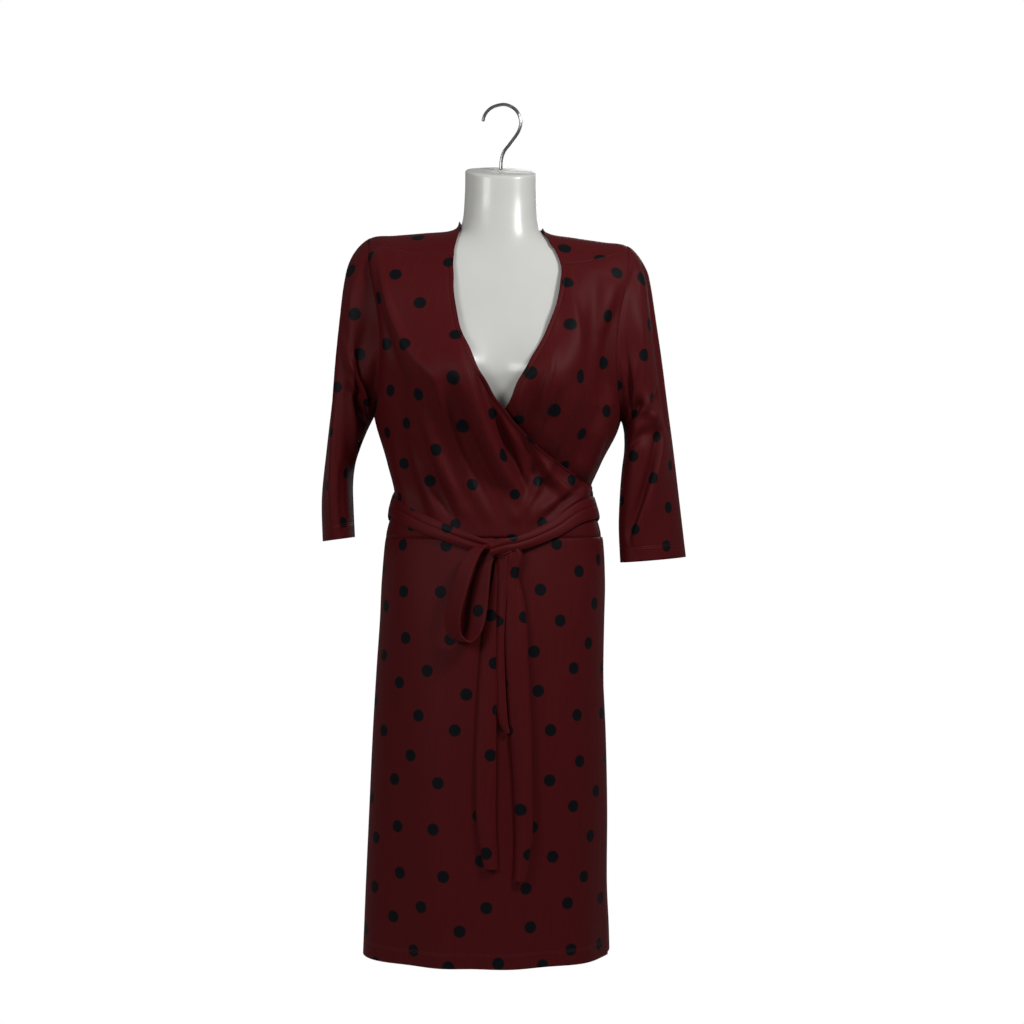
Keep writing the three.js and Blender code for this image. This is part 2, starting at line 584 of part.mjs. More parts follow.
// The form: its rings from the sloping neck cap to its flat base, closed at both ends.
function torso(around, downward) {
  const base = levelOfHeight(FORM_BASE_Z);
  const points = [];
  const rows = [];
  for (let j = 0; j <= downward; j++) rows.push(mix(0, base, (j / downward) ** 0.96));
  const inset = [[0, 0.86, 2.4], ...rows.map((level) => [level, 1, 0]), [base, 0.94, -5]];
  for (const [level, scale, lift] of inset) {
    const row = levelAt(level);
    for (let i = 0; i < around; i++) {
      const p = ringPoint((2 * Math.PI * i) / around, level, false);
      points.push(new THREE.Vector3(row.formX + (p.x - row.formX) * scale, p.y * scale, p.z + lift));
    }
  }
  const last = inset.length - 1;
  const middleOf = (j) => {
    const m = new THREE.Vector3();
    for (let i = 0; i < around; i++) m.add(points[j * around + i]);
    return m.multiplyScalar(1 / around);
  };
  points.push(middleOf(0), middleOf(last));
  const top = points.length - 2;
  const bottom = points.length - 1;
  const faces = [];
  for (let i = 0; i < around; i++) {
    const next = (i + 1) % around;
    for (let j = 0; j < last; j++) {
      const [a, b] = [j * around + i, j * around + next];
      faces.push([a, a + around, b + around], [a, b + around, b]);
    }
    faces.push([top, i, next], [bottom, last * around + next, last * around + i]);
  }
  return solidFrom(points, faces);
}

// The hook: one bent wire, from its rounded tip over the crown and down to the neck.
const HOOK = [
  [-31, -20], [-27, -9], [-17, 0], [0, 3.5], [15, -4], [22, -19], [19, -34], [8, -50], [-1, -62], [-5, -74], [-5.6, -88],
];
function hook() {
  const curve = new THREE.CatmullRomCurve3(HOOK.map(([x, z]) => new THREE.Vector3(x, 0, z - 1.2)));
  const disc = new THREE.Shape();
  disc.absarc(0, 0, WIRE / 2, 0, 2 * Math.PI, false);
  return new THREE.ExtrudeGeometry(disc, { steps: 34, curveSegments: 5, bevelEnabled: false, extrudePath: curve });
}

// The knot: a soft lump with the band of the tie pulled tight round its middle.
const KNOT = { x: -3.5, z: -624, halfX: 18, halfZ: 15, halfY: 8.5, out: 10.4 };
function knot() {
  const middle = frontPoint(KNOT.x, KNOT.z, KNOT.out);
  const geometry = new THREE.SphereGeometry(1, 18, 10);
  const place = geometry.getAttribute("position");
  for (let i = 0; i < place.count; i++) {
    const n = new THREE.Vector3().fromBufferAttribute(place, i);
    const across = n.x + 0.35 * n.y;
    const groove = 1 - 0.16 * bell(across - 0.35, 0.13) - 0.13 * bell(across + 0.4, 0.13);
    const p = new THREE.Vector3(n.x * KNOT.halfX, n.z * KNOT.halfY, n.y * KNOT.halfZ);
    place.setXYZ(i, ...p.multiplyScalar(groove).multiply(new THREE.Vector3(1, -1, 1)).add(middle));
  }
  geometry.computeVertexNormals();
  return geometry;
}

const dress = new THREE.Group();
function add(name, geometry, color, roughness, metalness = 0) {
  const mesh = new THREE.Mesh(geometry, new THREE.MeshStandardMaterial({ color, roughness, metalness }));
  mesh.name = name;
  dress.add(mesh);
}
const addCloth = (name, geometry) => add(name, geometry, BURGUNDY, 0.75);

const { steps } = ARMHOLE;
const fronts = { over: laid(overPanel, overLift), under: laid(underPanel, underLift) };
const skirts = { over: laid(skirtOver, skirtLift), under: laid(skirtUnder, flat), back: laid(skirtBack, flat) };
const sleeves = {
  right: sleeveSurface(LEFT, SLEEVE_WEARERS_RIGHT, CREASES_RIGHT),
  left: sleeveSurface(RIGHT, SLEEVE_WEARERS_LEFT, CREASES_LEFT),
};
add("torso_form", torso(36, 26), WHITE_PLASTIC, 0.25);
add("hook", hook(), CHROME, 0.2, 1);
addCloth("front_over", clothWall(fronts.over, 24, FRONT_ROWS, CLOTH, 1));
addCloth("front_under", clothWall(fronts.under, 18, FRONT_ROWS, CLOTH, -1));
addCloth("back", clothWall(laid(backPanel, flat), 20, BACK_ROWS, CLOTH, -1));
addCloth("skirt_over", clothWall(skirts.over, 26, 9, CLOTH, 1));
addCloth("skirt_under", clothWall(skirts.under, 24, 9, CLOTH, -1));
addCloth("skirt_back", clothWall(skirts.back, 22, 8, CLOTH, -1));
addCloth("sleeve_right", clothWall(sleeves.right, steps, 14, CLOTH, -1, true));
addCloth("sleeve_left", clothWall(sleeves.left, steps, 14, CLOTH, 1, true));
addCloth("tie_over", clothWall(tieSurface(TIE_OVER), 2, 32, BELT_CLOTH, 1));
addCloth("tie_under", clothWall(tieSurface(TIE_UNDER), 2, 32, BELT_CLOTH, -1));
addCloth("knot", knot());
addCloth("bow_loop", clothWall(stripSurface(LOOP), 2, 22, BELT_CLOTH, 1));
addCloth("tail_over", clothWall(stripSurface(TAIL_OVER), 2, 14, BELT_CLOTH, 1));
addCloth("tail_under", clothWall(stripSurface(TAIL_UNDER), 2, 14, BELT_CLOTH, 1));

export default dress;
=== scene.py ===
# %% [markdown]
# A knee-length wrap dress with a dotted jersey, three-quarter sleeves and a tied belt.
# It is worn by a hanging torso form. The frame gives the solids of every part, and
# this lesson dresses them: thin cloth with its creases, print, seams and stitching.

import math

import bmesh
import bpy
import numpy as np
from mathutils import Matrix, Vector


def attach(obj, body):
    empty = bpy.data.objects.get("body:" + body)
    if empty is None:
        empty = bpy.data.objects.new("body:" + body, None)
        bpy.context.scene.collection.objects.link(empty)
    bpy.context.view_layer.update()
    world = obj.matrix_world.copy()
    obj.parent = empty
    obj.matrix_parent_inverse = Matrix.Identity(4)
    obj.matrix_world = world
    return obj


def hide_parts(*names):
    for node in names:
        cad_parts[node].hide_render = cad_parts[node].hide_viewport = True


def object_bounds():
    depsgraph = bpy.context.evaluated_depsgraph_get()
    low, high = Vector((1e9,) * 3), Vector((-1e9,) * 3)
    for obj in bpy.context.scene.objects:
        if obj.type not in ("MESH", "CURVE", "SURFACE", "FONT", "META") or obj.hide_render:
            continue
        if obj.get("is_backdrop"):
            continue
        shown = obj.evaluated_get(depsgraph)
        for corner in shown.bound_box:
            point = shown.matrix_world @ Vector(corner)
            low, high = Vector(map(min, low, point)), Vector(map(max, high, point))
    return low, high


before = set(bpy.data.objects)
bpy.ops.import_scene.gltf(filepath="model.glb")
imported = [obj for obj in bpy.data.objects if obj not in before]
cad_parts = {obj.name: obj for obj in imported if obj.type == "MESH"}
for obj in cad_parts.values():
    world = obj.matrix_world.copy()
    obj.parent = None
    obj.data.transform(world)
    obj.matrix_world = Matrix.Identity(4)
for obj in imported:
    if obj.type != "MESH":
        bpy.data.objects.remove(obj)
cad_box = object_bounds()
rad = math.radians
print("solids:", len(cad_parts))

# %% [markdown]
# The camera comes first. The photograph was taken straight on, from 2.6 m away, with
# the lens level with the waist, so the far side of the cuffs and hem shows a little.

# %% camera
camera = bpy.data.objects.new("camera", bpy.data.cameras.new("camera"))
bpy.context.scene.collection.objects.link(camera)
camera.location = (0.0098, -2.6, -0.568)
camera.rotation_euler = (rad(90), 0, 0)
camera.data.lens = 65.3
camera.data.sensor_width = 36
camera.data.clip_end = 60
bpy.context.scene.camera = camera
print("camera:", camera.data.lens, "mm lens,", -camera.location.y, "m away")

# %% [markdown]
# The real garment's sizes are in millimetres here, and become metres when a mesh is
# made. The body is described by rings from the neck down to the hem. Each ring has
# heights at its sides, front and back, and the size of the form and of the cloth.

# %% sizes of the rings
MM = 0.001
# the columns: three heights, the form's middle, half width and depths, and the cloth's extents
Z_SIDE, Z_FRONT, Z_BACK, FORM_X, FORM_HALF, FORM_FRONT, FORM_BACK = range(7)
LEFT, RIGHT, FRONT, BACK = range(7, 11)
LEVELS = np.array([
    [-93, -108, -78, -5.6, 50, 50, 50, -60, 49, 54, 54],
    [-124, -142, -112, -5.6, 50.5, 51, 53, -61, 49.5, 55, 57],
    [-163, -178, -152, -6, 53.5, 56, 60, -63.5, 51.5, 60, 64],
    [-179.5, -205, -182, -6.5, 63, 63, 70, -73, 60, 67, 74],
    [-185, -234, -208, -7.5, 102, 73, 82, -113, 98, 77, 86],
    [-189.5, -264, -240, -8, 141, 85, 92, -153, 137, 89, 96],
    [-194, -292, -272, -8.5, 174, 96, 99, -187, 170, 100, 103],
    [-218, -324, -310, -8.5, 190, 106, 104, -204, 187, 111, 109],
    [-272, -352, -347, -9, 184, 113, 106, -202, 184, 119, 112],
    [-340, -378, -376, -9, 167, 116, 104, -195, 177, 123, 112],
    [-402, -402, -402, -9, 154, 112, 99, -186, 168, 123, 110],
    [-450, -450, -450, -10, 143, 104, 93, -178, 158, 120, 106],
    [-500, -500, -500, -14, 133, 96, 87, -162, 134, 114, 100],
    [-545, -545, -545, -16.5, 129, 92, 84, -152, 119, 109, 96],
    [-600, -600, -600, -17, 137, 97, 98, -165, 132, 113, 108],
    [-660, -660, -660, -18, 148, 103, 114, -171, 136, 118, 124],
    [-720, -720, -720, -18, 152, 106, 120, -173.5, 136, 122, 131],
    [-790, -790, -790, -18, 152, 104, 118, -178, 137, 124, 132],
    [-880, -880, -880, -18, 150, 100, 112, -183, 141, 126, 131],
    [-980, -980, -980, -18, 150, 100, 112, -187.5, 143, 127, 129],
    [-1080, -1080, -1080, -18, 150, 100, 112, -192, 142.5, 128, 128],
    [-1140, -1140, -1140, -18, 150, 100, 112, -194.5, 145, 128, 127],
    [-1176, -1176, -1176, -18, 150, 100, 112, -196, 146, 128, 127],
], float)
HEM = len(LEVELS) - 1


def mix(a, b, t):
    return a + (b - a) * t


def smooth(low, high, x):
    t = np.clip((x - low) / (high - low), 0, 1)
    return t * t * (3 - 2 * t)


def bell(d, width):
    return np.exp(-(d * d) / (2 * width * width))


def between(rows, place):
    """Smooth values between the rows of a table, at fractional places in it."""
    last = len(rows) - 1
    place = np.asarray(place, float)
    i = np.floor(np.clip(place, 0, last - 1e-9)).astype(int)
    t = (place - i)[..., None]
    a, b, c, d = (rows[np.clip(i + k, 0, last)] for k in (-1, 0, 1, 2))
    m, n = (c - a) / 2, (d - b) / 2
    return b + t * (m + t * (3 * (c - b) - 2 * m - n + t * (m + n - 2 * (c - b))))


FLAT_FROM = 10
FINE = np.linspace(FLAT_FROM, HEM, 400)
FINE_Z = between(LEVELS, FINE)[:, Z_SIDE]


def level_of(z):
    """The level of a height, from the bust down, where the rings lie flat."""
    return np.interp(-np.asarray(z, float), -FINE_Z, FINE)


WAIST = float(level_of(-603))
BELT_TOP = float(level_of(-560))
print("waist at level", round(WAIST, 2))

# %% [markdown]
# Points on the rings. Angle 0 is the image's right and -90 degrees the front. The
# bust is two soft mounds of a general figure, and cloth spans the hollow between.

# %% points on the body
LAP = 4.2  # how far the overlapping front stands out
RISE = 3.2  # how far the cloth lies above the form's shoulders
BOXY, TILT = 0.045, 0.032  # how square the rings are, and how the shoulders slope
# how far each mound stands out, its distance from the middle, half width, height and half height
BUST_OUT, BUST_APART, BUST_WIDE, BUST_Z, BUST_TALL = 34, 72, 37, -388, 42
SPAN_OUT, SPAN_WIDE, SPAN_Z, SPAN_TALL = 13, 40, -425, 52


def ring_point(angle, level, cloth=True):
    row = np.moveaxis(between(LEVELS, level), -1, 0)
    c, s = np.cos(angle), np.sin(angle)
    front = s < 0
    full = 1 + BOXY * np.sin(2 * angle) ** 2
    middle = (row[LEFT] + row[RIGHT]) / 2 if cloth else row[FORM_X]
    half = (row[RIGHT] - row[LEFT]) / 2 if cloth else row[FORM_HALF]
    ahead, behind = (row[FRONT], row[BACK]) if cloth else (row[FORM_FRONT], row[FORM_BACK])
    deep = np.where(front, ahead, behind)
    x = middle + half * c * full
    z_end = np.where(front, row[Z_FRONT], row[Z_BACK])
    z = row[Z_SIDE] + (z_end - row[Z_SIDE]) * mix(np.abs(s), s * s, smooth(0, 3, level))
    y = deep * s * full
    bx = x - row[FORM_X]
    both = bell(bx - BUST_APART, BUST_WIDE) + bell(bx + BUST_APART, BUST_WIDE)
    mound = BUST_OUT * both * bell(z - BUST_Z, BUST_TALL)
    if cloth:
        mound = mound + SPAN_OUT * bell(bx, SPAN_WIDE) * bell(z - SPAN_Z, SPAN_TALL)
    y = y - np.where(front, mound * (1 - c**4), 0)
    z = z - TILT * bx * (1 - smooth(10, 13, level))
    if cloth:
        z = z + RISE * (1 - smooth(6, 9, level))
    return np.stack([x, y, z], -1)


def unit(v):
    return v / np.maximum(np.linalg.norm(v, axis=-1, keepdims=True), 1e-9)


def cloth_point(angle, level, out=0.0):
    """The cloth's surface, moved out by some millimetres along its normal."""
    angle, level = np.broadcast_arrays(np.asarray(angle, float), np.asarray(level, float))
    h = 1e-3
    da = ring_point(angle + h, level) - ring_point(angle - h, level)
    dl = ring_point(angle, level + h) - ring_point(angle, level - h)
    n = unit(np.cross(da, dl))
    away = np.stack([np.cos(angle), np.sin(angle), np.where(level < 7, 0.6, 0.0)], -1)
    n = n * np.where((n * away).sum(-1) < 0, -1, 1)[..., None]
    return ring_point(angle, level) + n * np.asarray(out, float)[..., None]


def locate(x, z):
    """Where the front of the cloth has this x and z, as angle and level, by ever finer grids."""
    best, reach = np.array([rad(-90), 8.0]), np.array([rad(90), 7.0])
    steps = np.arange(-6, 7) / 6
    grid = np.stack(np.meshgrid(steps, steps, indexing="ij"), -1).reshape(-1, 2)
    for _ in range(9):
        at = best + reach * grid
        at[:, 1] = np.clip(at[:, 1], 1.5, 16)
        p = ring_point(at[:, 0], at[:, 1])
        miss = np.hypot(p[:, 0] - x, p[:, 2] - z) + np.where(p[:, 1] > 25, 500, 0)
        best, reach = at[miss.argmin()], reach / 2.6
    return best


print("the point of the neckline is at angle", round(math.degrees(locate(-33, -382)[0])), "degrees")


# %% [markdown]
# The cloth's large folds are those of the solids, so the thin cloth lies where they
# are. Each is a soft ridge or trough from one point of the front view to another.

# %% large folds
# x and z of both ends, how far the fold bows, its half width, and its rise or, below 0, its depth
FRONT_FOLDS = [
    (-172, -205, -58, -430, 14, 16, 7), (-186, -240, -112, -460, 10, 15, -7),
    (-66, -330, 36, -580, 16, 14, 7), (-104, -350, 2, -590, 14, 13, -6),
    (-128, -400, -40, -590, 10, 13, 5), (-28, -380, 84, -575, 12, 12, -5),
    (112, -240, 60, -440, -12, 15, 6), (162, -270, 120, -460, -6, 14, -7),
]
BACK_FOLDS = [
    (-126, -300, -80, -580, -10, 18, 5), (112, -310, 54, -580, 10, 18, 5),
    (-34, -400, -30, -590, 4, 16, -4),
]
# angle at the waist and the hem, half width, rise at the waist and the hem
WAVES = [
    (-158, -150, 9, -1, 4), (-138, -126, 8, 2, -5), (-120, -108, 8, -2, 4),
    (-104, -98, 6, 2.5, -3), (-88, -80, 7, -2.5, 4), (-72, -62, 7, 2, -4), (-54, -44, 7, -2, 3),
    (-34, -28, 8, 1.5, -2), (32, 28, 10, 2, 4), (58, 56, 9, -2.5, -5), (84, 86, 9, 2, 5),
    (108, 112, 9, -2, -4), (136, 138, 10, 2, 5),
]
# the finer creases have two half widths, one for each side of the crest
FRONT_CREASES = [
    (-64, -346, 62, -590, 11, 4, 13, 10), (-48, -352, 40, -560, 3, 6, 5, -8),
    (-96, -360, -8, -600, 9, 4, 12, 9), (-76, -380, 14, -596, 4, 5, 5, -7),
    (-54, -450, 24, -594, 6, 4, 9, 6), (-100, -430, -36, -600, 6, 4, 10, 7),
    (-112, -430, -58, -600, 4, 4, 6, -6), (-126, -470, -72, -594, 4, 4, 9, 6),
    (-148, -456, -118, -588, 5, 4, 9, 5), (-134, -456, -98, -590, 3, 4, 6, -5),
    (-176, -204, -84, -398, 16, 5, 22, 11), (-172, -220, -120, -410, 12, 7, 7, -9),
    (-140, -330, -84, -520, -4, 9, 10, 5), (72, -484, 10, -590, 0, 3.5, 8, 5),
    (102, -506, 26, -588, -6, 3.5, 8, 6), (112, -520, 40, -582, -5, 3.5, 5, -5),
    (118, -528, 62, -570, -4, 3, 6, 4.5), (16, -436, 78, -560, 8, 4, 10, -6),
    (-14, -428, 60, -590, 8, 3.5, 8, -6), (40, -486, 100, -552, 5, 3.5, 8, 4.5),
    (-30, -400, 44, -506, 6, 4, 9, 5), (-8, -440, 30, -540, 3, 4, 5, -5),
    (50, -500, 18, -575, 2, 3.5, 5, -4.5),
]
UNDER_CREASES = [
    (80, -236, 98, -384, -4, 6, 18, 6), (122, -238, 106, -400, -4, 8, 10, -6),
    (36, -378, 8, -456, 0, 3.5, 9, 5.5), (60, -368, 24, -474, 2, 4, 5, -5.5),
    (66, -346, 46, -446, 0, 4, 10, 4.5), (98, -404, 58, -508, 2, 5, 12, 6),
    (128, -426, 88, -524, 0, 5, 8, -6), (152, -396, 108, -534, 0, 5, 12, 5.5),
    (158, -290, 146, -420, 4, 8, 12, -6), (150, -250, 132, -330, 0, 6, 10, 4),
    (60, -262, 66, -330, 0, 5, 9, 3.5), (80, -400, 46, -480, 1, 4, 4, -4),
]


def folds_at(folds, x, z):
    total = np.zeros_like(x)
    for x0, z0, x1, z1, bow, *width, rise in folds:
        dx, dz = x1 - x0, z1 - z0
        length = math.hypot(dx, dz)
        along = ((x - x0) * dx + (z - z0) * dz) / length**2
        across = ((x - x0) * dz - (z - z0) * dx) / length
        off = across - bow * 4 * along * (1 - along)
        wide = np.where(off < 0, width[0], width[-1])
        body = np.sin(np.pi * np.clip(along, 0, 1)) ** 0.8
        total += rise * bell(off, wide) * np.where((along > 0) & (along < 1), body, 0)
    return total


def turned(angle):
    return angle - 2 * np.pi * np.round(angle / (2 * np.pi))


# an armhole is an oval on the rings: the levels of its top and bottom, and its half width
ARM_TOP, ARM_BOTTOM, ARM_SPREAD = 6, 10.7, rad(35)
ARM_MIDDLE, ARM_HALF = (ARM_TOP + ARM_BOTTOM) / 2, (ARM_BOTTOM - ARM_TOP) / 2


def armhole(side, turn):
    """A place on it: turn 0 is its top, 90 degrees its front. Side 0 is the image's right."""
    swing = ARM_SPREAD * np.sin(turn)
    angle = -swing if side == 0 else -np.pi + swing
    return np.stack([angle, ARM_MIDDLE - ARM_HALF * np.cos(turn)], -1)


FINE_DEPTH = 1.12


def rise_at(angle, level, fine=()):
    """How far folds lift the cloth: none at the armholes, side seams and under the belt."""
    a = turned(angle)
    side = np.minimum(np.abs(a), np.pi - np.abs(a))
    sides = smooth(0, rad(14), side)
    t = np.clip((level - WAIST) / (HEM - WAIST), 0, 1)
    wave = np.zeros_like(a)
    for top, bottom, width, rise_top, rise_bottom in WAVES:
        off = turned(a - np.radians(mix(top, bottom, t)))
        wave += mix(rise_top, rise_bottom, t) * bell(off, rad(width))
    away = np.hypot(side / ARM_SPREAD, (level - ARM_MIDDLE) / ARM_HALF) - 1
    fade = sides * smooth(BELT_TOP, BELT_TOP - 1, level) * smooth(0, 0.3, away)
    fade = fade * smooth(4.8, 6.2, level)
    p = ring_point(a, level)
    x, z = p[..., 0], p[..., 2]
    folds = np.where(a < 0, folds_at(FRONT_FOLDS, x, z), folds_at(BACK_FOLDS, x, z)) * fade
    if fine:
        low = smooth(WAIST, WAIST - 0.7, level)
        near = smooth(0, 0.18, away) * low * smooth(4.2, 5, level)
        folds = folds + FINE_DEPTH * folds_at(fine, x, z) * near
    return np.where(level > WAIST, wave * smooth(0, 0.12, t) * sides, folds)


print("creases on the fronts:", len(FRONT_CREASES), "and", len(UNDER_CREASES))


# %% [markdown]
# A panel is a piece of cloth between four edges, as a pattern cutter draws it. The
# edges are curves on the body, and the panel's inside is blended between them.

# %% panels
def curve_through(places):
    places = np.array(places, float)
    p = cloth_point(places[:, 0], places[:, 1])
    far = np.concatenate([[0], np.cumsum(np.linalg.norm(np.diff(p, axis=0), axis=1))])
    rows = np.arange(len(far))
    return lambda t: between(places, np.interp(np.clip(t, 0, 1) * far[-1], far, rows))


def chain(first, second, share):
    def edge(t):
        return np.where((t < share)[..., None], first(t / share), second((t - share) / (1 - share)))

    return edge


def line(a, b):
    a, b = np.array(a, float), np.array(b, float)
    return lambda t: a + (b - a) * np.asarray(t, float)[..., None]


def panel(top, bottom, start, end):
    zero, one = np.array(0.0), np.array(1.0)
    c = top(zero), top(one), bottom(zero), bottom(one)

    def place(u, v):
        U, V = u[..., None], v[..., None]
        flat = mix(mix(c[0], c[1], U), mix(c[2], c[3], U), V)
        return mix(top(u), bottom(u), V) + mix(start(v), end(v), U) - flat

    return place


YOKE_TURN = rad(30)  # where the yoke's seam meets an armhole
# x and z of the two wrapped edges, from the shoulder seam down to the far side seam
OVER_EDGE = [
    (-69, -216), (-69, -248), (-66, -290), (-57, -332), (-46, -356), (-33, -382), (-16, -410),
    (2, -433), (20, -456), (47, -482), (74, -503), (100, -521),
]
UNDER_EDGE = [
    (76, -230), (75, -258), (69, -290), (59, -318), (48, -342), (34, -366), (20, -392),
    (3, -428), (-34, -462), (-78, -495), (-118, -530),
]
OVER_END, WRAP_END = rad(-6), float(level_of(-536))
UNDER_END, UNDER_LEVEL = rad(-158), float(level_of(-560))
over_edge = curve_through([locate(x, z) for x, z in OVER_EDGE] + [(OVER_END, WRAP_END)])
under_edge = curve_through([locate(x, z) for x, z in UNDER_EDGE] + [(UNDER_END, UNDER_LEVEL)])
SHARE = 10 / 17  # of a front's side, the part along the armhole


def arm_edge(side):
    return lambda t: armhole(side, mix(YOKE_TURN, np.pi, t))


over_panel = panel(
    line(armhole(1, YOKE_TURN), over_edge(np.array(0.0))),
    line((-np.pi, WAIST), (OVER_END, WAIST)),
    chain(arm_edge(1), line((-np.pi, ARM_BOTTOM), (-np.pi, WAIST)), SHARE),
    chain(over_edge, line((OVER_END, WRAP_END), (OVER_END, WAIST)), 0.86),
)
under_panel = panel(
    line(armhole(0, YOKE_TURN), under_edge(np.array(0.0))),
    line((0, WAIST), (UNDER_END, WAIST)),
    chain(arm_edge(0), line((0, ARM_BOTTOM), (0, WAIST)), SHARE),
    chain(under_edge, line((UNDER_END, UNDER_LEVEL), (UNDER_END, WAIST)), 0.92),
)
TURN = np.array([2 * np.pi, 0])
right_neck, left_neck = under_edge(np.array(0.0)), over_edge(np.array(0.0)) + TURN
back_neck = curve_through(
    [right_neck, locate(74, -222), locate(68.5, -208), locate(61, -195)]
    + [(rad(a), 2.5) for a in (-6, 30, 60, 90)]
    + [(rad(120), 2.4), (rad(150), 2.3), (rad(186), 2.2), locate(-66, -192) + TURN, left_neck]
)
BACK_SEAM, BACK_ARM = 4 / 24, 14 / 24  # of the back's side: along the yoke's seam and the armhole


def back_side(side, neck):
    past = TURN if side else 0 * TURN
    angle = np.pi if side else 0.0
    arm = lambda t: armhole(side, mix(YOKE_TURN, -np.pi, t)) + past
    shoulder = line(neck, arm(np.array(0.0)))
    upper = chain(shoulder, arm, BACK_SEAM / (BACK_SEAM + BACK_ARM))
    return chain(upper, line((angle, ARM_BOTTOM), (angle, WAIST)), BACK_SEAM + BACK_ARM)


back_panel = panel(
    back_neck,
    line((0, WAIST), (np.pi, WAIST)),
    back_side(0, right_neck),
    back_side(1, left_neck),
)


def down(v):
    return mix(WAIST, HEM, v)


def skirt_over(u, v):
    wrapped_to = mix(OVER_END, rad(-20), smooth(0, 0.5, v))
    return np.stack([mix(-np.pi, wrapped_to, u), down(v)], -1)


def skirt_under(u, v):
    return np.stack([mix(0, rad(-160), u), down(v)], -1)


def skirt_back(u, v):
    return np.stack([mix(0, np.pi, u), down(v)], -1)


def laid(place, lift, fine=()):
    """The cloth at a place of a panel, with its lap over the piece beneath and its folds."""

    def surface(u, v):
        angle, level = np.moveaxis(place(u, v), -1, 0)
        return cloth_point(angle, level, lift(u, v) + rise_at(angle, level, fine))

    return surface


# the cloth beneath gives way where the overlapping edge crosses it
CROSS_X, CROSS_Z, CROSS_SLOPE, CROSS_DEPTH = 2, -433, rad(-41), 5.6


def under_lift(u, v):
    p = cloth_point(*np.moveaxis(under_panel(u, v), -1, 0))
    x, z = p[..., 0] - CROSS_X, p[..., 2] - CROSS_Z
    below = x * math.sin(CROSS_SLOPE) - z * math.cos(CROSS_SLOPE)
    return -CROSS_DEPTH * smooth(-16, 8, below) * smooth(0, 0.04, u) * smooth(1, 0.94, v)


print("panels of the bodice and the skirt drawn")


# %% [markdown]
# The print is a toss of near-black dots on burgundy. Its repeat is 25.1 cm wide and
# 31.5 cm high, and the next column starts half a repeat lower. One small group finds
# how far a point of the cloth is from one dot of the repeat, wherever that recurs.

# %% the printed dots
REPEAT_WIDE, REPEAT_HIGH, DOT_RADIUS = 0.251, 0.315, 0.0082
SOFT_IN, SOFT_OUT = 0.0004, 0.0005  # how far the ink's edge fades, both ways
DOTS_CM = [
    (11.3, 1.5), (17.9, 1.4), (6.8, 4.0), (23.8, 5.3), (14.8, 5.7), (10.4, 7.5), (20.3, 8.6),
    (4.6, 10.2), (13.7, 11.7), (18.9, 13.4), (7.6, 14.2), (12.6, 17.1), (4.0, 18.4),
    (23.6, 18.6), (10.0, 20.5), (16.8, 20.5), (4.8, 23.6), (22.4, 24.6), (10.7, 26.8),
    (16.3, 26.7), (0.5, 28.4), (6.7, 28.8), (22.9, 30.6),
]


class Nodes:
    """A small helper: makes nodes in one tree, and links what it is given to their inputs."""

    def __init__(self, tree):
        self.tree = tree

    def add(self, kind, *given, **settings):
        node = self.tree.nodes.new("ShaderNode" + kind)
        for name, value in settings.items():
            setattr(node, name, value)
        for place, value in enumerate(given):
            self.put(node.inputs[place], value)
        return node

    def put(self, socket, value):
        if isinstance(value, bpy.types.NodeSocket):
            self.tree.links.new(value, socket)
        elif value is not None:
            socket.default_value = value

    def math(self, operation, *given):
        return self.add("Math", *given, operation=operation).outputs[0]

    def vector(self, operation, *given):
        node = self.add("VectorMath", *given, operation=operation)
        return node.outputs["Value" if operation == "LENGTH" else "Vector"]


def group(name, inputs, outputs):
    """An empty shader group with named sockets: (name, kind, default) each."""
    tree = bpy.data.node_groups.new(name, "ShaderNodeTree")
    for way, sockets in (("INPUT", inputs), ("OUTPUT", outputs)):
        for label, kind, *default in sockets:
            socket = tree.interface.new_socket(label, in_out=way, socket_type="NodeSocket" + kind)
            if default:
                socket.default_value = default[0]
    made = Nodes(tree)
    return made, tree.nodes.new("NodeGroupInput"), tree.nodes.new("NodeGroupOutput")


n, source, result = group("one_dot", [("Cloth", "Vector"), ("Centre", "Vector")], [("Distance", "Float")])
apart = n.add("SeparateXYZ", n.vector("SUBTRACT", source.outputs["Cloth"], source.outputs["Centre"]))
column = n.math("ROUND", n.math("DIVIDE", apart.outputs["X"], REPEAT_WIDE))
across = n.math("SUBTRACT", apart.outputs["X"], n.math("MULTIPLY", column, REPEAT_WIDE))
along = n.math("ADD", apart.outputs["Y"], n.math("MULTIPLY", column, REPEAT_HIGH / 2))
along = n.math("WRAP", along, REPEAT_HIGH / 2, -REPEAT_HIGH / 2)
n.put(result.inputs["Distance"], n.vector("LENGTH", n.add("CombineXYZ", across, along).outputs[0]))
one_dot = n.tree

n, source, result = group("dot_print", [("Cloth", "Vector")], [("Dot", "Float")])
nearest = None
for x, y in DOTS_CM:
    dot = n.add("Group", node_tree=one_dot)
    n.put(dot.inputs["Cloth"], source.outputs["Cloth"])
    dot.inputs["Centre"].default_value = (x / 100, -y / 100, 0)
    nearest = dot.outputs[0] if nearest is None else n.math("MINIMUM", nearest, dot.outputs[0])
edge = n.add("MapRange", nearest, DOT_RADIUS - SOFT_IN, DOT_RADIUS + SOFT_OUT, 1.0, 0.0)
n.put(result.inputs["Dot"], edge.outputs[0])
dot_print = n.tree
print("dots in the repeat:", len(DOTS_CM))

# %% [markdown]
# Jersey is knitted: fine ribs called wales run along it, with a row of loops across
# every 0.7 mm. The dye also takes a little unevenly along the wales.

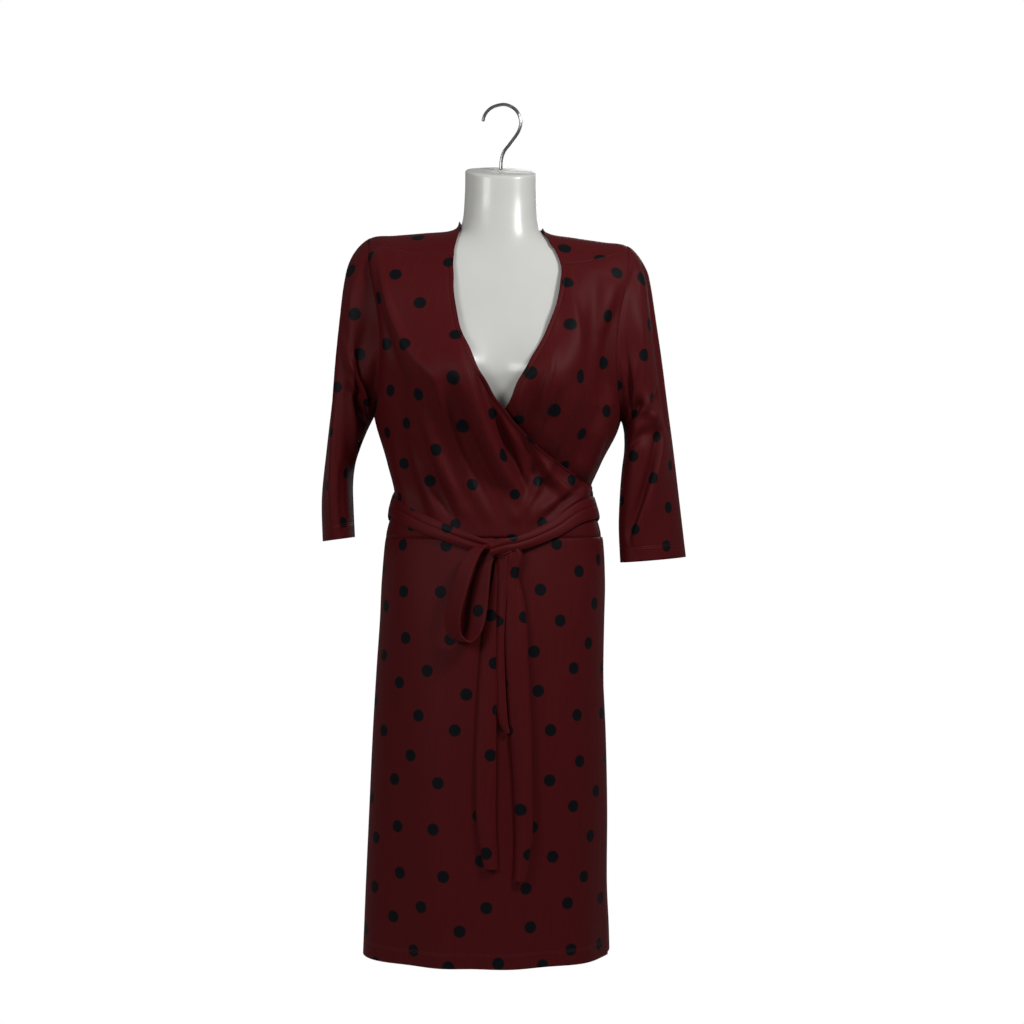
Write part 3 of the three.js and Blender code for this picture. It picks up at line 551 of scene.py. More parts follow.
# %% knit and stitching
n, source, result = group(
    "jersey_knit",
    [("Cloth", "Vector"), ("Wale", "Float", 0.0009)],
    [("Height", "Float"), ("Streak", "Float")],
)
wide = source.outputs["Wale"]
fine = n.vector("DIVIDE", source.outputs["Cloth"], n.add("CombineXYZ", wide, wide, 1.0).outputs[0])
part = n.add("SeparateXYZ", fine)
wale = n.math("ABSOLUTE", n.math("SINE", n.math("MULTIPLY", part.outputs["X"], math.pi)))
bent = n.math("ADD", part.outputs["Y"], n.math("MULTIPLY", wale, 0.6))
course = n.math("SINE", n.math("MULTIPLY", bent, 2 * math.pi))
n.put(result.inputs["Height"], n.math("ADD", wale, n.math("MULTIPLY", course, 0.35)))
long_way = n.vector("MULTIPLY", source.outputs["Cloth"], (420.0, 14.0, 1.0))
streak = n.add("TexNoise", noise_dimensions="2D")
n.put(streak.inputs["Vector"], long_way)
n.put(streak.inputs["Scale"], 1.0)
n.put(streak.inputs["Detail"], 2.0)
n.put(result.inputs["Streak"], streak.outputs[0])
jersey_knit = n.tree

STITCH = 0.0032
n, source, result = group(
    "stitch_line",
    [("Stitch", "Vector"), ("At", "Float", 0.007)],
    [("Thread", "Float"), ("Dip", "Float")],
)
part = n.add("SeparateXYZ", source.outputs["Stitch"])
off = n.math("ABSOLUTE", n.math("SUBTRACT", part.outputs["X"], source.outputs["At"]))
n.put(result.inputs["Dip"], n.add("MapRange", off, 0.0, 0.0012, 1.0, 0.0).outputs[0])
beat = n.math("SINE", n.math("MULTIPLY", part.outputs["Y"], 2 * math.pi / STITCH))
sewn = n.add("MapRange", off, 0.0002, 0.0006, 1.0, 0.0).outputs[0]
thread = n.math("MULTIPLY", sewn, n.math("GREATER_THAN", beat, -0.5))
n.put(result.inputs["Thread"], thread)
stitch_line = n.tree


GROUND, DOT_COLOUR = (0.07, 0.0036, 0.005), (0.0022, 0.0026, 0.004)
ROUGHNESS, KNIT_HEIGHT, STITCH_DEPTH = 0.55, 0.00004, 0.0004


def shade_of(colour, share):
    return (*[channel * share for channel in colour], 1)


def jersey(name, ground, lines):
    """Burgundy jersey with the dots, its knit, and stitched lines at these distances from an edge."""
    material = bpy.data.materials.new(name)
    material.use_nodes = True
    n = Nodes(material.node_tree)
    bsdf = material.node_tree.nodes["Principled BSDF"]
    cloth_map = n.add("UVMap", uv_map="cloth").outputs[0]
    stitch = n.add("Attribute", attribute_name="stitch").outputs["Vector"]
    printed, knit = n.add("Group", node_tree=dot_print), n.add("Group", node_tree=jersey_knit)
    n.put(printed.inputs["Cloth"], cloth_map)
    n.put(knit.inputs["Cloth"], cloth_map)
    streak = knit.outputs["Streak"]
    dye = n.add("MixRGB", streak, shade_of(ground, 0.86), shade_of(ground, 1.14)).outputs[0]
    colour = n.add("MixRGB", printed.outputs["Dot"], dye, (*DOT_COLOUR, 1)).outputs[0]
    height = n.math("MULTIPLY", knit.outputs["Height"], KNIT_HEIGHT)
    for at in lines:
        sewn = n.add("Group", node_tree=stitch_line)
        n.put(sewn.inputs["Stitch"], stitch)
        sewn.inputs["At"].default_value = at
        thread = n.math("MULTIPLY", sewn.outputs["Thread"], 0.5)
        colour = n.add("MixRGB", thread, colour, shade_of(ground, 1.5)).outputs[0]
        dip = n.math("MULTIPLY", sewn.outputs["Dip"], STITCH_DEPTH)
        height = n.math("SUBTRACT", height, dip)
    bump = n.add("Bump")
    n.put(bump.inputs["Height"], height)
    bump.inputs["Distance"].default_value = 1.0
    n.put(bsdf.inputs["Base Color"], colour)
    n.put(bsdf.inputs["Normal"], bump.outputs[0])
    soft = n.add("MapRange", streak, 0.0, 1.0, ROUGHNESS - 0.06, ROUGHNESS + 0.06)
    n.put(bsdf.inputs["Roughness"], soft.outputs[0])
    bsdf.inputs["Specular IOR Level"].default_value = 0.1
    bsdf.inputs["Sheen Weight"].default_value = 0.025
    bsdf.inputs["Sheen Roughness"].default_value = 0.45
    bsdf.inputs["Sheen Tint"].default_value = (0.75, 0.45, 0.47, 1)
    return material


dress_jersey = jersey("burgundy_jersey", GROUND, (0.0046,))
hem_jersey = jersey("hemmed_jersey", GROUND, (0.0185, 0.021))
belt_jersey = jersey("belt_jersey", shade_of(GROUND, 1.04)[:3], (0.0012,))
print("jerseys:", dress_jersey.name, hem_jersey.name, belt_jersey.name)

# %% [markdown]
# Every sheet starts as a flat grid, as cloth does, and each of its points is then
# laid on the body. A graded grid has closer rows beside its turned edges, where the
# stitching shows. Two numbers go with each point: its distance from the stitched
# edge and its way along it. Solidify gives the cloth its thickness, inwards.

# %% laying a sheet of cloth
def graded(rows, close, start=0.0, end=0.0):
    """A map of 0..1 onto itself that puts some of the rows close together at one edge."""
    knot, place = (close / rows, start) if start else (1 - close / rows, 1 - end)
    return lambda t: np.interp(t, [0, knot, 1], [0, place, 1])


FAR = 500.0
FOLD_RISE, FOLD_STEP, VALLEY_DEPTH, VALLEY_WIDE = 0.8, 0.5, 0.55, 2.0


def from_edges(du, dv, names):
    """How far each point is from the nearest of the named edges, and its way along it."""
    near, way = np.full(du.shape, FAR), dv.copy()
    sides = (("l", du, dv), ("r", du[-1:] - du, dv), ("t", dv, du), ("b", dv[:, -1:] - dv, du))
    for side, distance, other in sides:
        if side in names:
            way = np.where(distance < near, other, way)
            near = np.minimum(near, distance)
    return near, way


def cloth(
    name, surface, across, along, thickness=1.1, ring=False, grade_u=None, grade_v=None,
    edges="", seams="", fold=0.0, armhole_share=0.0, out=None,
):
    """A sheet from surface(u, v). Edges names the turned and stitched ones, of l, r (u ends), t, b
    (v ends), and seams the ones sewn to a neighbour. Fold is how wide the turned edge is. No seam
    valley is made along the share of the sides where a sleeve joins smoothly. A ring is closed."""
    bm = bmesh.new()
    bmesh.ops.create_grid(bm, x_segments=across, y_segments=along, size=1)
    flat = np.array([v.co for v in bm.verts])
    u, v = (flat[:, 0] + 1) / 2, (1 - flat[:, 1]) / 2
    iu, iv = np.rint(u * across).astype(int), np.rint(v * along).astype(int)
    u = grade_u(u) if grade_u else u
    v = grade_v(v) if grade_v else v
    p = surface(u, v)
    table = np.zeros((across + 1, along + 1, 3))
    table[iu, iv] = p
    step_u = np.linalg.norm(np.diff(table, axis=0), axis=2)
    step_v = np.linalg.norm(np.diff(table, axis=1), axis=2)
    du = np.concatenate([np.zeros((1, along + 1)), np.cumsum(step_u, 0)])
    dv = np.concatenate([np.zeros((across + 1, 1)), np.cumsum(step_v, 1)], 1)
    near, way = from_edges(du, dv, edges)
    normal = unit(np.cross(np.gradient(table, axis=0), np.gradient(table, axis=1)))
    if out is not None:
        place = np.unravel_index((table @ np.array(out)).argmax(), du.shape)
        normal = normal * (1 if normal[place] @ np.array(out) > 0 else -1)
    if fold:
        raised = FOLD_RISE * (1 - smooth(fold - 0.4, fold + 0.9, near))
        relief = raised - FOLD_STEP * bell(near - fold - 1, 0.8)
        table = table + normal * relief[..., None]
    if seams:
        sewn, by = from_edges(du, dv, seams)
        pucker = 1 + 0.35 * np.sin(by / 3.1 + 1.7 * np.sin(by / 17))
        rows = np.linspace(0, 1, along + 1)[None, :]
        joined = smooth(armhole_share - 0.02, armhole_share + 0.06, rows) if armhole_share else 1
        valley = VALLEY_DEPTH * bell(sewn, VALLEY_WIDE) * pucker * joined
        table = table - normal * valley[..., None]
    p = table[iu, iv]
    seam = bm.verts.layers.float_vector.new("stitch")
    for vert, point, i, j in zip(bm.verts, p, iu, iv):
        vert.co = point * MM
        vert[seam] = (near[i, j] * MM, way[i, j] * MM, 0)
    if ring:
        bmesh.ops.remove_doubles(bm, verts=bm.verts, dist=1e-5)
    bmesh.ops.recalc_face_normals(bm, faces=bm.faces)
    if out is not None:
        face = max(bm.faces, key=lambda f: f.calc_center_median().dot(out))
        if face.normal.dot(out) < 0:
            bmesh.ops.reverse_faces(bm, faces=bm.faces)
    for face in bm.faces:
        face.smooth = True
    mesh = bpy.data.meshes.new(name)
    bm.to_mesh(mesh)
    bm.free()
    piece = bpy.data.objects.new(name, mesh)
    bpy.context.scene.collection.objects.link(piece)
    if thickness:
        wall = piece.modifiers.new("thickness", "SOLIDIFY")
        wall.thickness, wall.offset = thickness * MM, -1
    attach(piece, "root")
    print(f"made {name}: {len(mesh.polygons)} faces")
    return piece


OUT_FRONT, OUT_BACK = Vector((0, -1, 0)), Vector((0, 1, 0))
OUT_LEFT, OUT_RIGHT = Vector((-1, 0, 0)), Vector((1, 0, 0))


def area_of(piece):
    return sum(f.area for f in piece.data.polygons)


# %% [markdown]
# The print and the knit follow the cloth, so each piece gets a map that lays it flat,
# as it was cut, in metres: unwrapped with the least stretch, scaled to its true area,
# turned so that its grain hangs down, and set on the print where the cutter laid it.

# %% laying flat
def lay_flat(piece, a, b, at, lean=0.0):
    """The grain runs from the point nearest a to that nearest b. At is a's place on the print."""
    mesh = piece.data
    mesh.uv_layers.new(name="cloth")
    bpy.ops.object.select_all(action="DESELECT")
    bpy.context.view_layer.objects.active = piece
    piece.select_set(True)
    bpy.ops.object.mode_set(mode="EDIT")
    bpy.ops.mesh.select_all(action="SELECT")
    bpy.ops.uv.unwrap(method="ANGLE_BASED", margin=0)
    bpy.ops.object.mode_set(mode="OBJECT")
    loops = np.zeros(len(mesh.loops) * 2)
    mesh.uv_layers["cloth"].data.foreach_get("uv", loops)
    loops = loops.reshape(-1, 2)
    corner = np.zeros(len(mesh.loops), int)
    mesh.loops.foreach_get("vertex_index", corner)
    points = np.zeros(len(mesh.vertices) * 3)
    mesh.vertices.foreach_get("co", points)
    points = points.reshape(-1, 3) / MM
    quads = loops.reshape(-1, 4, 2)
    d1, d2 = quads[:, 2] - quads[:, 0], quads[:, 3] - quads[:, 1]
    signed = float((d1[:, 0] * d2[:, 1] - d1[:, 1] * d2[:, 0]).sum() / 2)
    loops = loops * math.sqrt(area_of(piece) / abs(signed))
    if signed < 0:
        loops[:, 0] *= -1
    ends = [loops[(((points - end) ** 2).sum(1)[corner]).argmin()] for end in (a, b)]
    way = ends[1] - ends[0]
    turn = -math.pi / 2 - math.atan2(way[1], way[0]) + rad(lean)
    c, s = math.cos(turn), math.sin(turn)
    loops = (loops - ends[0]) @ np.array([[c, s], [-s, c]]) + np.array([at[0], -at[1]]) * MM
    mesh.uv_layers["cloth"].data.foreach_set("uv", loops.ravel())


def declare(piece, node, material):
    piece.data.materials.append(material)
    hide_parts(node)


print("two helpers ready: lay_flat and declare")


# %% [markdown]
# The two fronts, the back and the three skirt panels. The overlapping front stands a
# little outside the one beneath it, and both are sewn into the same side seams.

# %% bodice
TURNED_EDGE = 5.5
FRONT_ARM, BACK_ARM_END = 0.59, 0.75  # how far down the sides the armholes reach


def no_lift(u, v):
    return 0 * u


def skirt_lift(u, v):
    return LAP * smooth(0, 0.14, u)


def over_lift(u, v):
    """The end of the overlap is tucked in under the belt."""
    tucked = 0.65 * smooth(0.82, 1, u) * smooth(0.5, 0.8, v)
    return skirt_lift(u, v) * smooth(0, 0.12, v) * (1 - tucked)


front = {"edges": "r", "seams": "ltb", "fold": TURNED_EDGE, "armhole_share": FRONT_ARM, "out": OUT_FRONT}
over = cloth(
    "wrap_front_over", laid(over_panel, over_lift, FRONT_CREASES), 112, 124,
    grade_u=graded(112, 16, end=0.055), **front,
)
under = cloth(
    "wrap_front_under", laid(under_panel, under_lift, UNDER_CREASES), 90, 112,
    grade_u=graded(90, 14, end=0.06), **front,
)
back = cloth(
    "bodice_back", laid(back_panel, no_lift), 104, 120, grade_v=graded(120, 12, start=0.03),
    edges="t", seams="lrb", armhole_share=BACK_ARM_END, out=OUT_BACK,
)

# %% [markdown]
# The skirt hangs straight from the waist seam. Its waves start small there and grow
# towards the hem, which is turned up and stitched twice.

# %% skirt
wrapped = {"edges": "rb", "seams": "lt", "out": OUT_FRONT}
front_skirt = cloth("skirt_front_over", laid(skirt_over, skirt_lift), 100, 130, **wrapped)
under_skirt = cloth("skirt_front_under", laid(skirt_under, no_lift), 76, 110, **wrapped)
rear_skirt = cloth("skirt_rear", laid(skirt_back, no_lift), 76, 110, edges="b", seams="lrt", out=OUT_BACK)

# %% [markdown]
# A sleeve is a tube whose sections run from its outer to its inner outline. It is
# sewn along the underarm, so that is where the flat grid's two sides meet.

# %% sleeves
# a section's outer x and z, inner x and z, outer y and inner y, and half depth
SLEEVE_RIGHT = np.array([
    [-188, -186, -182, -436, 0, 0, 66], [-203, -193, -186, -440, 0, 0, 67],
    [-214, -209, -188, -444, 0, 0, 68], [-221, -240, -191, -450, 0, 0, 68],
    [-227, -288, -196, -461, 0, 0, 67], [-234, -345, -203, -479, 1, -1, 66],
    [-241, -412, -210, -502, 2, -2, 64], [-249, -480, -213, -530, 3, -3, 62],
    [-256, -548, -212, -563, 4, -4, 60], [-255, -609, -210, -603, 5, -5, 58],
], float)
SLEEVE_LEFT = np.array([
    [171, -196, 165, -444, 0, 0, 66], [185, -203, 167, -450, 0, 0, 67],
    [197, -224, 167, -457, 2, -1, 67], [204, -252, 167, -464, 4, -3, 65],
    [212, -303, 167, -474, 7, -6, 62], [220, -355, 166, -488, 10, -9, 57],
    [228, -415, 163, -508, 14, -13, 52], [237, -481, 160, -541, 17, -16, 47],
    [246, -555, 158, -588, 19, -18, 43], [255, -631, 160, -638, 20, -20, 41],
], float)
# turn and share of the length at both ends, the half widths on the two sides, and rise
CREASES_RIGHT = [
    (22, 0.2, 86, 0.99, 8, 12, 5), (94, 0.38, 168, 0.7, 13, 4, 7),
    (107, 0.36, 184, 0.66, 4, 15, -9), (66, 0.5, 156, 0.22, 4, 10, 6),
    (80, 0.55, 166, 0.3, 12, 4, -7), (112, 0.06, 128, 0.4, 7, 12, 4),
    (92, 0.02, 100, 0.34, 8, 8, -4), (56, 0.08, 60, 0.4, 9, 9, 3),
    (110, 0.74, 122, 0.98, 6, 12, -3.5), (-70, 0.2, -86, 0.9, 10, 10, -5),
    (-40, 0.35, -62, 0.85, 10, 10, 4), (-110, 0.3, -96, 0.7, 9, 9, 4),
    (-50, 0.44, -128, 0.56, 8, 8, 5),
]
CREASES_LEFT = [
    (92, 0.08, 138, 0.31, 6, 6, -5), (142, 0.27, 84, 0.62, 4, 9, -7),
    (92, 0.6, 50, 0.61, 5, 8, -6), (114, 0.49, 50, 0.72, 8, 4, 7),
    (138, 0.57, 60, 0.72, 5, 7, -6), (54, 0.68, 142, 0.93, 4, 5, -7),
    (42, 0.7, 130, 0.95, 13, 5, 5), (66, 0.0, 44, 0.2, 7, 7, -4),
    (20, 0.18, 40, 0.74, 5, 12, -4), (120, 0.06, 104, 0.36, 8, 8, 4),
    (76, 0.12, 80, 0.46, 9, 9, 3), (-60, 0.2, -80, 0.85, 10, 10, -5),
    (-36, 0.4, -96, 0.62, 8, 8, 5), (-44, 0.48, -110, 0.6, 8, 8, -5),
]


SLEEVE_LONG, SLEEVE_DEPTH, HEAD = 360, 1.35, 2.6


def crease_rise(creases, turn, along):
    total = np.zeros_like(turn)
    for turn0, along0, turn1, along1, w0, w1, rise in creases:
        da, dt = turn1 - turn0, (along1 - along0) * SLEEVE_LONG
        length = math.hypot(da, dt)
        a, t = turn - turn0, (along - along0) * SLEEVE_LONG
        place = (a * da + t * dt) / length**2
        off = (a * dt - t * da) / length
        body = np.sin(np.pi * np.clip(place, 0, 1)) ** 0.7
        within = (place > 0) & (place < 1)
        total += rise * bell(off, np.where(off < 0, w0, w1)) * np.where(within, body, 0)
    return total


def sleeve(side, rows, creases):
    out = -1 if side else 1

    def surface(u, v):
        turn = 2 * np.pi * (u - 0.5)
        place = v * (len(rows) - 1)
        out_x, out_z, in_x, in_z, out_y, in_y, deep = np.moveaxis(between(rows, place), -1, 0)
        c, s = np.cos(turn), np.sin(turn)
        ends = np.stack([out_x, out_y, out_z], -1), np.stack([in_x, in_y, in_z], -1)
        p = (ends[0] + ends[1]) / 2 + (ends[0] - ends[1]) / 2 * c[..., None]
        p[..., 1] -= deep * s
        angle, level = np.moveaxis(armhole(side, turn), -1, 0)
        hole = cloth_point(angle, level, 0.5 * smooth(0, 0.3, place))
        p = mix(p, hole, (1 - smooth(0, HEAD, place))[..., None])
        rise = SLEEVE_DEPTH * crease_rise(creases, np.degrees(turn), v) * smooth(0.04, 0.2, v)
        away = unit(np.stack([out * c, -s, 0.3 * c], -1))
        return p + away * rise[..., None]

    return surface


tube = {"edges": "b", "seams": "lr"}
right_sleeve = cloth(
    "sleeve_wearers_right", sleeve(1, SLEEVE_RIGHT, CREASES_RIGHT), 112, 124, out=OUT_LEFT, **tube
)
left_sleeve = cloth(
    "sleeve_wearers_left", sleeve(0, SLEEVE_LEFT, CREASES_LEFT), 112, 124, out=OUT_RIGHT, **tube
)

# %% [markdown]
# The belt is a flat tube of the same jersey: two layers with soft folded edges. Each
# stretch of it is a strip laid along its way round the waist, or hung from the knot. It
# has the thickness of both layers, and creases that run into the knot.

# %% belt
def front_point(x, z, out):
    level = level_of(z)
    row = np.moveaxis(between(LEVELS, level), -1, 0)
    middle, half = (row[LEFT] + row[RIGHT]) / 2, (row[RIGHT] - row[LEFT]) / 2
    angle = -np.arccos(np.clip((x - middle) / half, -1, 1))
    return cloth_point(angle, level, LAP + rise_at(angle, level) + out)


# angle, height, width and how far out
TIE_OVER = np.array([
    [3, -548, 20, 1.2], [30, -543, 24, 1.2], [60, -540, 26, 1.2], [90, -540, 26, 1.2],
    [120, -541, 26, 1.2], [150, -545, 26, 1.3], [168, -550, 26, 1.6], [190, -560, 27, 3.6],
    [207, -564, 26, 5.2], [222, -575, 25, 5.2], [239, -590, 24, 5.2], [252, -602, 23, 5.4],
    [261, -610, 20, 6], [271, -617, 14, 7.5],
], float)
TIE_UNDER = np.array([
    [179, -566, 18, 1.2], [168, -571, 20, 1], [150, -575, 24, 1], [120, -577, 26, 1],
    [90, -578, 26, 1], [60, -577, 26, 1], [34, -576, 26, 0.6], [18, -571, 27, 0.8],
    [0, -564, 29, 1.4], [-16, -563, 30, 2.8], [-28, -565, 29, 4.4], [-42, -572, 26, 5.2],
    [-58, -591, 22, 5.6], [-70, -604, 19, 8], [-78, -611, 17, 14], [-84, -614, 16, 18.5],
    [-91, -620, 14, 20],
], float)
BELT = 2.2


def creased(u, v, depth, start):
    """A belt's lengthwise creases, deepest at the knot: start is where they begin along it."""
    grow = smooth(start, 1, v) if start else smooth(0.5, 0, v)
    main, second = np.sin(2 * np.pi * (1.5 * u + 0.1)), np.sin(2 * np.pi * (2.6 * u + 0.5 * v))
    return depth * grow * (main + 0.4 * second)


def tie(rows):
    def surface(u, v):
        angle, z, width, off = np.moveaxis(between(rows, v * (len(rows) - 1)), -1, 0)
        level = level_of(z + (0.5 - u) * width)
        angle = np.radians(angle)
        soft = 1.6 * np.sin(np.pi * u) ** 0.6 - 1.1 * bell(u - 0.46, 0.05) * smooth(0.5, 0.7, v)
        wave = 0.7 * np.sin(23 * v + 3 * u) * smooth(0.45, 0.6, v)
        soft = soft + wave + creased(u, v, 0.9, 0.72)
        return cloth_point(angle, level, rise_at(angle, level) + off + BELT + soft)

    return surface


# x, z, how far out, width, turn about the way it runs, and how much it curls
LOOP = np.array([
    [-18, -613, 11, 11, 6, 0], [-35, -620, 14, 17, 18, 0], [-47, -643, 17, 23, 28, 0],
    [-56, -674, 18, 26, 36, 0], [-63, -706, 18, 27, 40, 0], [-62, -729, 17, 27, 46, 0],
    [-50, -739, 16, 26, 50, 0], [-39, -724, 14, 26, 40, 0], [-34, -696, 13, 26, 28, 0],
    [-30, -664, 13, 23, 30, 0], [-24, -638, 12, 16, 28, 0], [-16, -622, 11, 11, 20, 0],
], float)
TAIL_OVER = np.array([
    [-7, -616, 9, 9, 0, 1], [-10, -645, 7, 9, 6, 2], [-14, -673, 5.4, 11, 8, 2.5],
    [-19.5, -732, 4.3, 20, 8, 3], [-23.5, -834, 4.1, 26, 5, 3], [-25, -926, 4.4, 27, 3, 2.5],
    [-24, -985, 4.4, 25, 2, 3], [-18, -1042, 4.4, 19, -3, 4],
], float)
TAIL_UNDER = np.array([
    [7, -612, 10, 11, 0, 1], [12.5, -629, 9.5, 18, -8, 2.5], [9.5, -653, 7.5, 13, -10, 2],
    [12, -680, 6, 20, -8, 3], [13.5, -716, 5.2, 27, -6, 4], [14.5, -760, 5.2, 28, -5, 5],
    [18.5, -838, 5.2, 27, -2, 4.5], [22, -919, 5.2, 23, 2, 4], [23.5, -1000, 5.2, 20, 4, 4],
    [18, -1058, 5.2, 12, 6, 3],
], float)
TAIL_FOLD = np.array([
    [1, -612, 11, 10, 0, 1], [-2, -635, 9.5, 12, 14, 2], [-3.6, -673, 7.6, 11, 18, 2],
    [-6, -732, 6, 9, 16, 2], [-5.5, -790, 5, 10, 12, 2], [-3, -840, 4.6, 11, 8, 2],
    [3, -862, 4.4, 5, 4, 1],
], float)


def strip(rows, pleat=0.0):
    def surface(u, v):
        x, z, out, width, turn, curl = np.moveaxis(between(rows, v * (len(rows) - 1)), -1, 0)
        s = 2 * u - 1
        p = front_point(x, z, out)
        turn = np.radians(turn)
        p[..., 0] += np.cos(turn) * s * width / 2
        cupped = curl * (1 - s * s)
        p[..., 1] -= np.sin(turn) * s * width / 2 + cupped + creased(u, v, pleat, 0)
        return p

    return surface


tie_over = cloth("belt_tie_over", tie(TIE_OVER), 22, 220, BELT, edges="lr")
tie_under = cloth("belt_tie_under", tie(TIE_UNDER), 22, 240, BELT, edges="lr")
loop = cloth("belt_bow_loop", strip(LOOP), 18, 130, BELT, edges="lr")
tail_over = cloth("belt_tail_over", strip(TAIL_OVER, 1.3), 24, 160, BELT, edges="lr")
tail_under = cloth("belt_tail_under", strip(TAIL_UNDER, 1.5), 24, 160, BELT, edges="lr")
tail_fold = cloth("belt_tail_fold", strip(TAIL_FOLD, 1.0), 16, 90, BELT, edges="lr")

# %% [markdown]
# The knot is a small flattened lump of the belt, and the strands that wrap it leave
# slanting grooves. A full sphere of points gives it a closed skin under the belt.

# %% the knot
KNOT_X, KNOT_Z, KNOT_OUT = -3.5, -620.0, 9.5
KNOT_HALF = np.array([16, 8.5, 12])
GROOVES = ((-0.62, 0.16), (-0.2, 0.24), (0.18, 0.2), (0.55, 0.16))  # place and depth


def knot_surface(u, v):
    middle = front_point(np.array(KNOT_X), np.array(KNOT_Z), KNOT_OUT)
    lon, lat = 2 * np.pi * u, np.pi * (v - 0.5)
    n = np.stack([np.cos(lon) * np.cos(lat), np.sin(lon) * np.cos(lat), np.sin(lat)], -1)
    n = np.sign(n) * np.abs(n) ** 0.85
    across = 0.91 * n[..., 2] - 0.54 * n[..., 0] + 0.12 * np.sin(3 * n[..., 0])
    size = 1 - sum(deep * bell(across - at, 0.07) for at, deep in GROOVES)
    return middle + n * KNOT_HALF * size[..., None]


knot = cloth("belt_knot", knot_surface, 96, 72, 0, ring=True)

# %% [markdown]
# The torso form is one glossy hollow moulding with a flat neck cap. The wire hook is
# chromed steel. Both keep the shapes of their solids, with finer surfaces.

# %% form and hook
BASE = float(level_of(-800))
NECK_BASE = -0.4  # the neck's rim is above this height, in metres
# each step of a cap: its share of the rim's size, and how far it is lifted in mm
NECK_CAP = ((0.97, 1.6), (0.86, 2.4), (0.4, 2.4), (0.02, 2.4))
BASE_CAP = ((0.98, -3), (0.94, -5), (0.3, -5), (0.02, -5))


def form_surface(u, v):
    return ring_point(2 * np.pi * u, mix(0, BASE, np.clip(v, 0, 1) ** 0.96), False)


def cap(bm, edges, steps):
    """Closes an open rim with ever smaller rings and a last face."""
    centre, size, height = None, 1.0, 0.0
    for share, lift in steps:
        grown = bmesh.ops.extrude_edge_only(bm, edges=edges)["geom"]
        verts = [g for g in grown if isinstance(g, bmesh.types.BMVert)]
        if centre is None:
            centre = sum((v.co for v in verts), Vector()) / len(verts)
        for v in verts:
            offset = v.co - centre - Vector((0, 0, height))
            v.co = centre + offset * (share / size) + Vector((0, 0, lift * MM))
        size, height = share, lift * MM
        edges = [g for g in grown if isinstance(g, bmesh.types.BMEdge) and g.is_boundary]
    bmesh.ops.edgeloop_fill(bm, edges=edges)


form = cloth("torso_moulding", form_surface, 120, 150, 0, ring=True)
bm = bmesh.new()
bm.from_mesh(form.data)
rim = [e for e in bm.edges if e.is_boundary]
cap(bm, [e for e in rim if e.verts[0].co.z > NECK_BASE], NECK_CAP)
cap(bm, [e for e in bm.edges if e.is_boundary], BASE_CAP)
bmesh.ops.recalc_face_normals(bm, faces=bm.faces)
for face in bm.faces:
    face.smooth = True
bm.to_mesh(form.data)
bm.free()

# x and z along the wire's middle, from its tip down into the neck
HOOK = np.array([
    (-31, -21.2), (-27, -10.2), (-17, -1.2), (0, 2.3), (15, -5.2), (22, -20.2), (19, -35.2),
    (8, -51.2), (-1, -63.2), (-5, -75.2), (-5.6, -89.2),
], float)
WIRE, TIP = 2.3, 0.012  # the wire's radius, and the share of its length that rounds its tip


def hook_surface(u, v):
    place, last = v * (len(HOOK) - 1), (v >= 1)[..., None]
    ahead = between(HOOK, place + 0.01) - between(HOOK, place - 0.01)
    middle = np.where(last, HOOK[-1], between(HOOK, place))
    ahead = unit(np.where(last, HOOK[-1] - HOOK[-2], ahead))
    c, s = np.cos(2 * np.pi * u), np.sin(2 * np.pi * u)
    radius = WIRE * np.sqrt(1 - (1 - np.clip(v / TIP, 0, 1)) ** 2) * (v < 1)
    x, z = middle[..., 0] + ahead[..., 1] * c * radius, middle[..., 1] - ahead[..., 0] * c * radius
    return np.stack([x, s * radius, z], -1)


hook = cloth("wire_hook", hook_surface, 24, 160, 0, ring=True, grade_v=graded(160, 8, start=TIP))

# %% [markdown]
# The form is glossy white plastic with a faint cloudiness and soft ripples from its
# mould, and the hook is bright chromed wire with fine rubbing marks from the rails that
# it has hung on. Both read a noise on the piece, which stays put when the piece moves.

# %% plastic and chrome
def finish(name, scale, detail, dark, light, smoothest, roughest):
    """A material whose colour and roughness vary with a noise on the piece."""
    material = bpy.data.materials.new(name)
    material.use_nodes = True
    n = Nodes(material.node_tree)
    bsdf = material.node_tree.nodes["Principled BSDF"]
    noise = n.add("TexNoise", n.add("TexCoord").outputs["Object"])
    noise.inputs["Scale"].default_value, noise.inputs["Detail"].default_value = scale, detail
    n.put(bsdf.inputs["Base Color"], n.add("MixRGB", noise.outputs[0], (*dark, 1), (*light, 1)).outputs[0])
    rough = n.add("MapRange", noise.outputs[0], 0.3, 0.7, smoothest, roughest)
    n.put(bsdf.inputs["Roughness"], rough.outputs[0])
    return material, n, bsdf


plastic, n, bsdf = finish("white_moulding", 7.0, 3.0, (0.6, 0.6, 0.57), (0.7, 0.7, 0.67), 0.26, 0.38)
ripple = n.add("TexNoise", n.add("TexCoord").outputs["Object"])
ripple.inputs["Scale"].default_value, ripple.inputs["Detail"].default_value = 26.0, 1.0
bump = n.add("Bump")
bump.inputs["Distance"].default_value = 0.0016
bump.inputs["Strength"].default_value = 0.5
n.put(bump.inputs["Height"], ripple.outputs[0])
n.put(bsdf.inputs["Normal"], bump.outputs[0])
bsdf.inputs["Coat Weight"].default_value = 0.12
bsdf.inputs["Coat Roughness"].default_value = 0.08

chrome, n, bsdf = finish("chromed_wire", 160.0, 4.0, (0.3, 0.29, 0.28), (0.52, 0.51, 0.5), 0.12, 0.3)
bsdf.inputs["Metallic"].default_value = 1.0
print("finishes:", plastic.name, chrome.name)
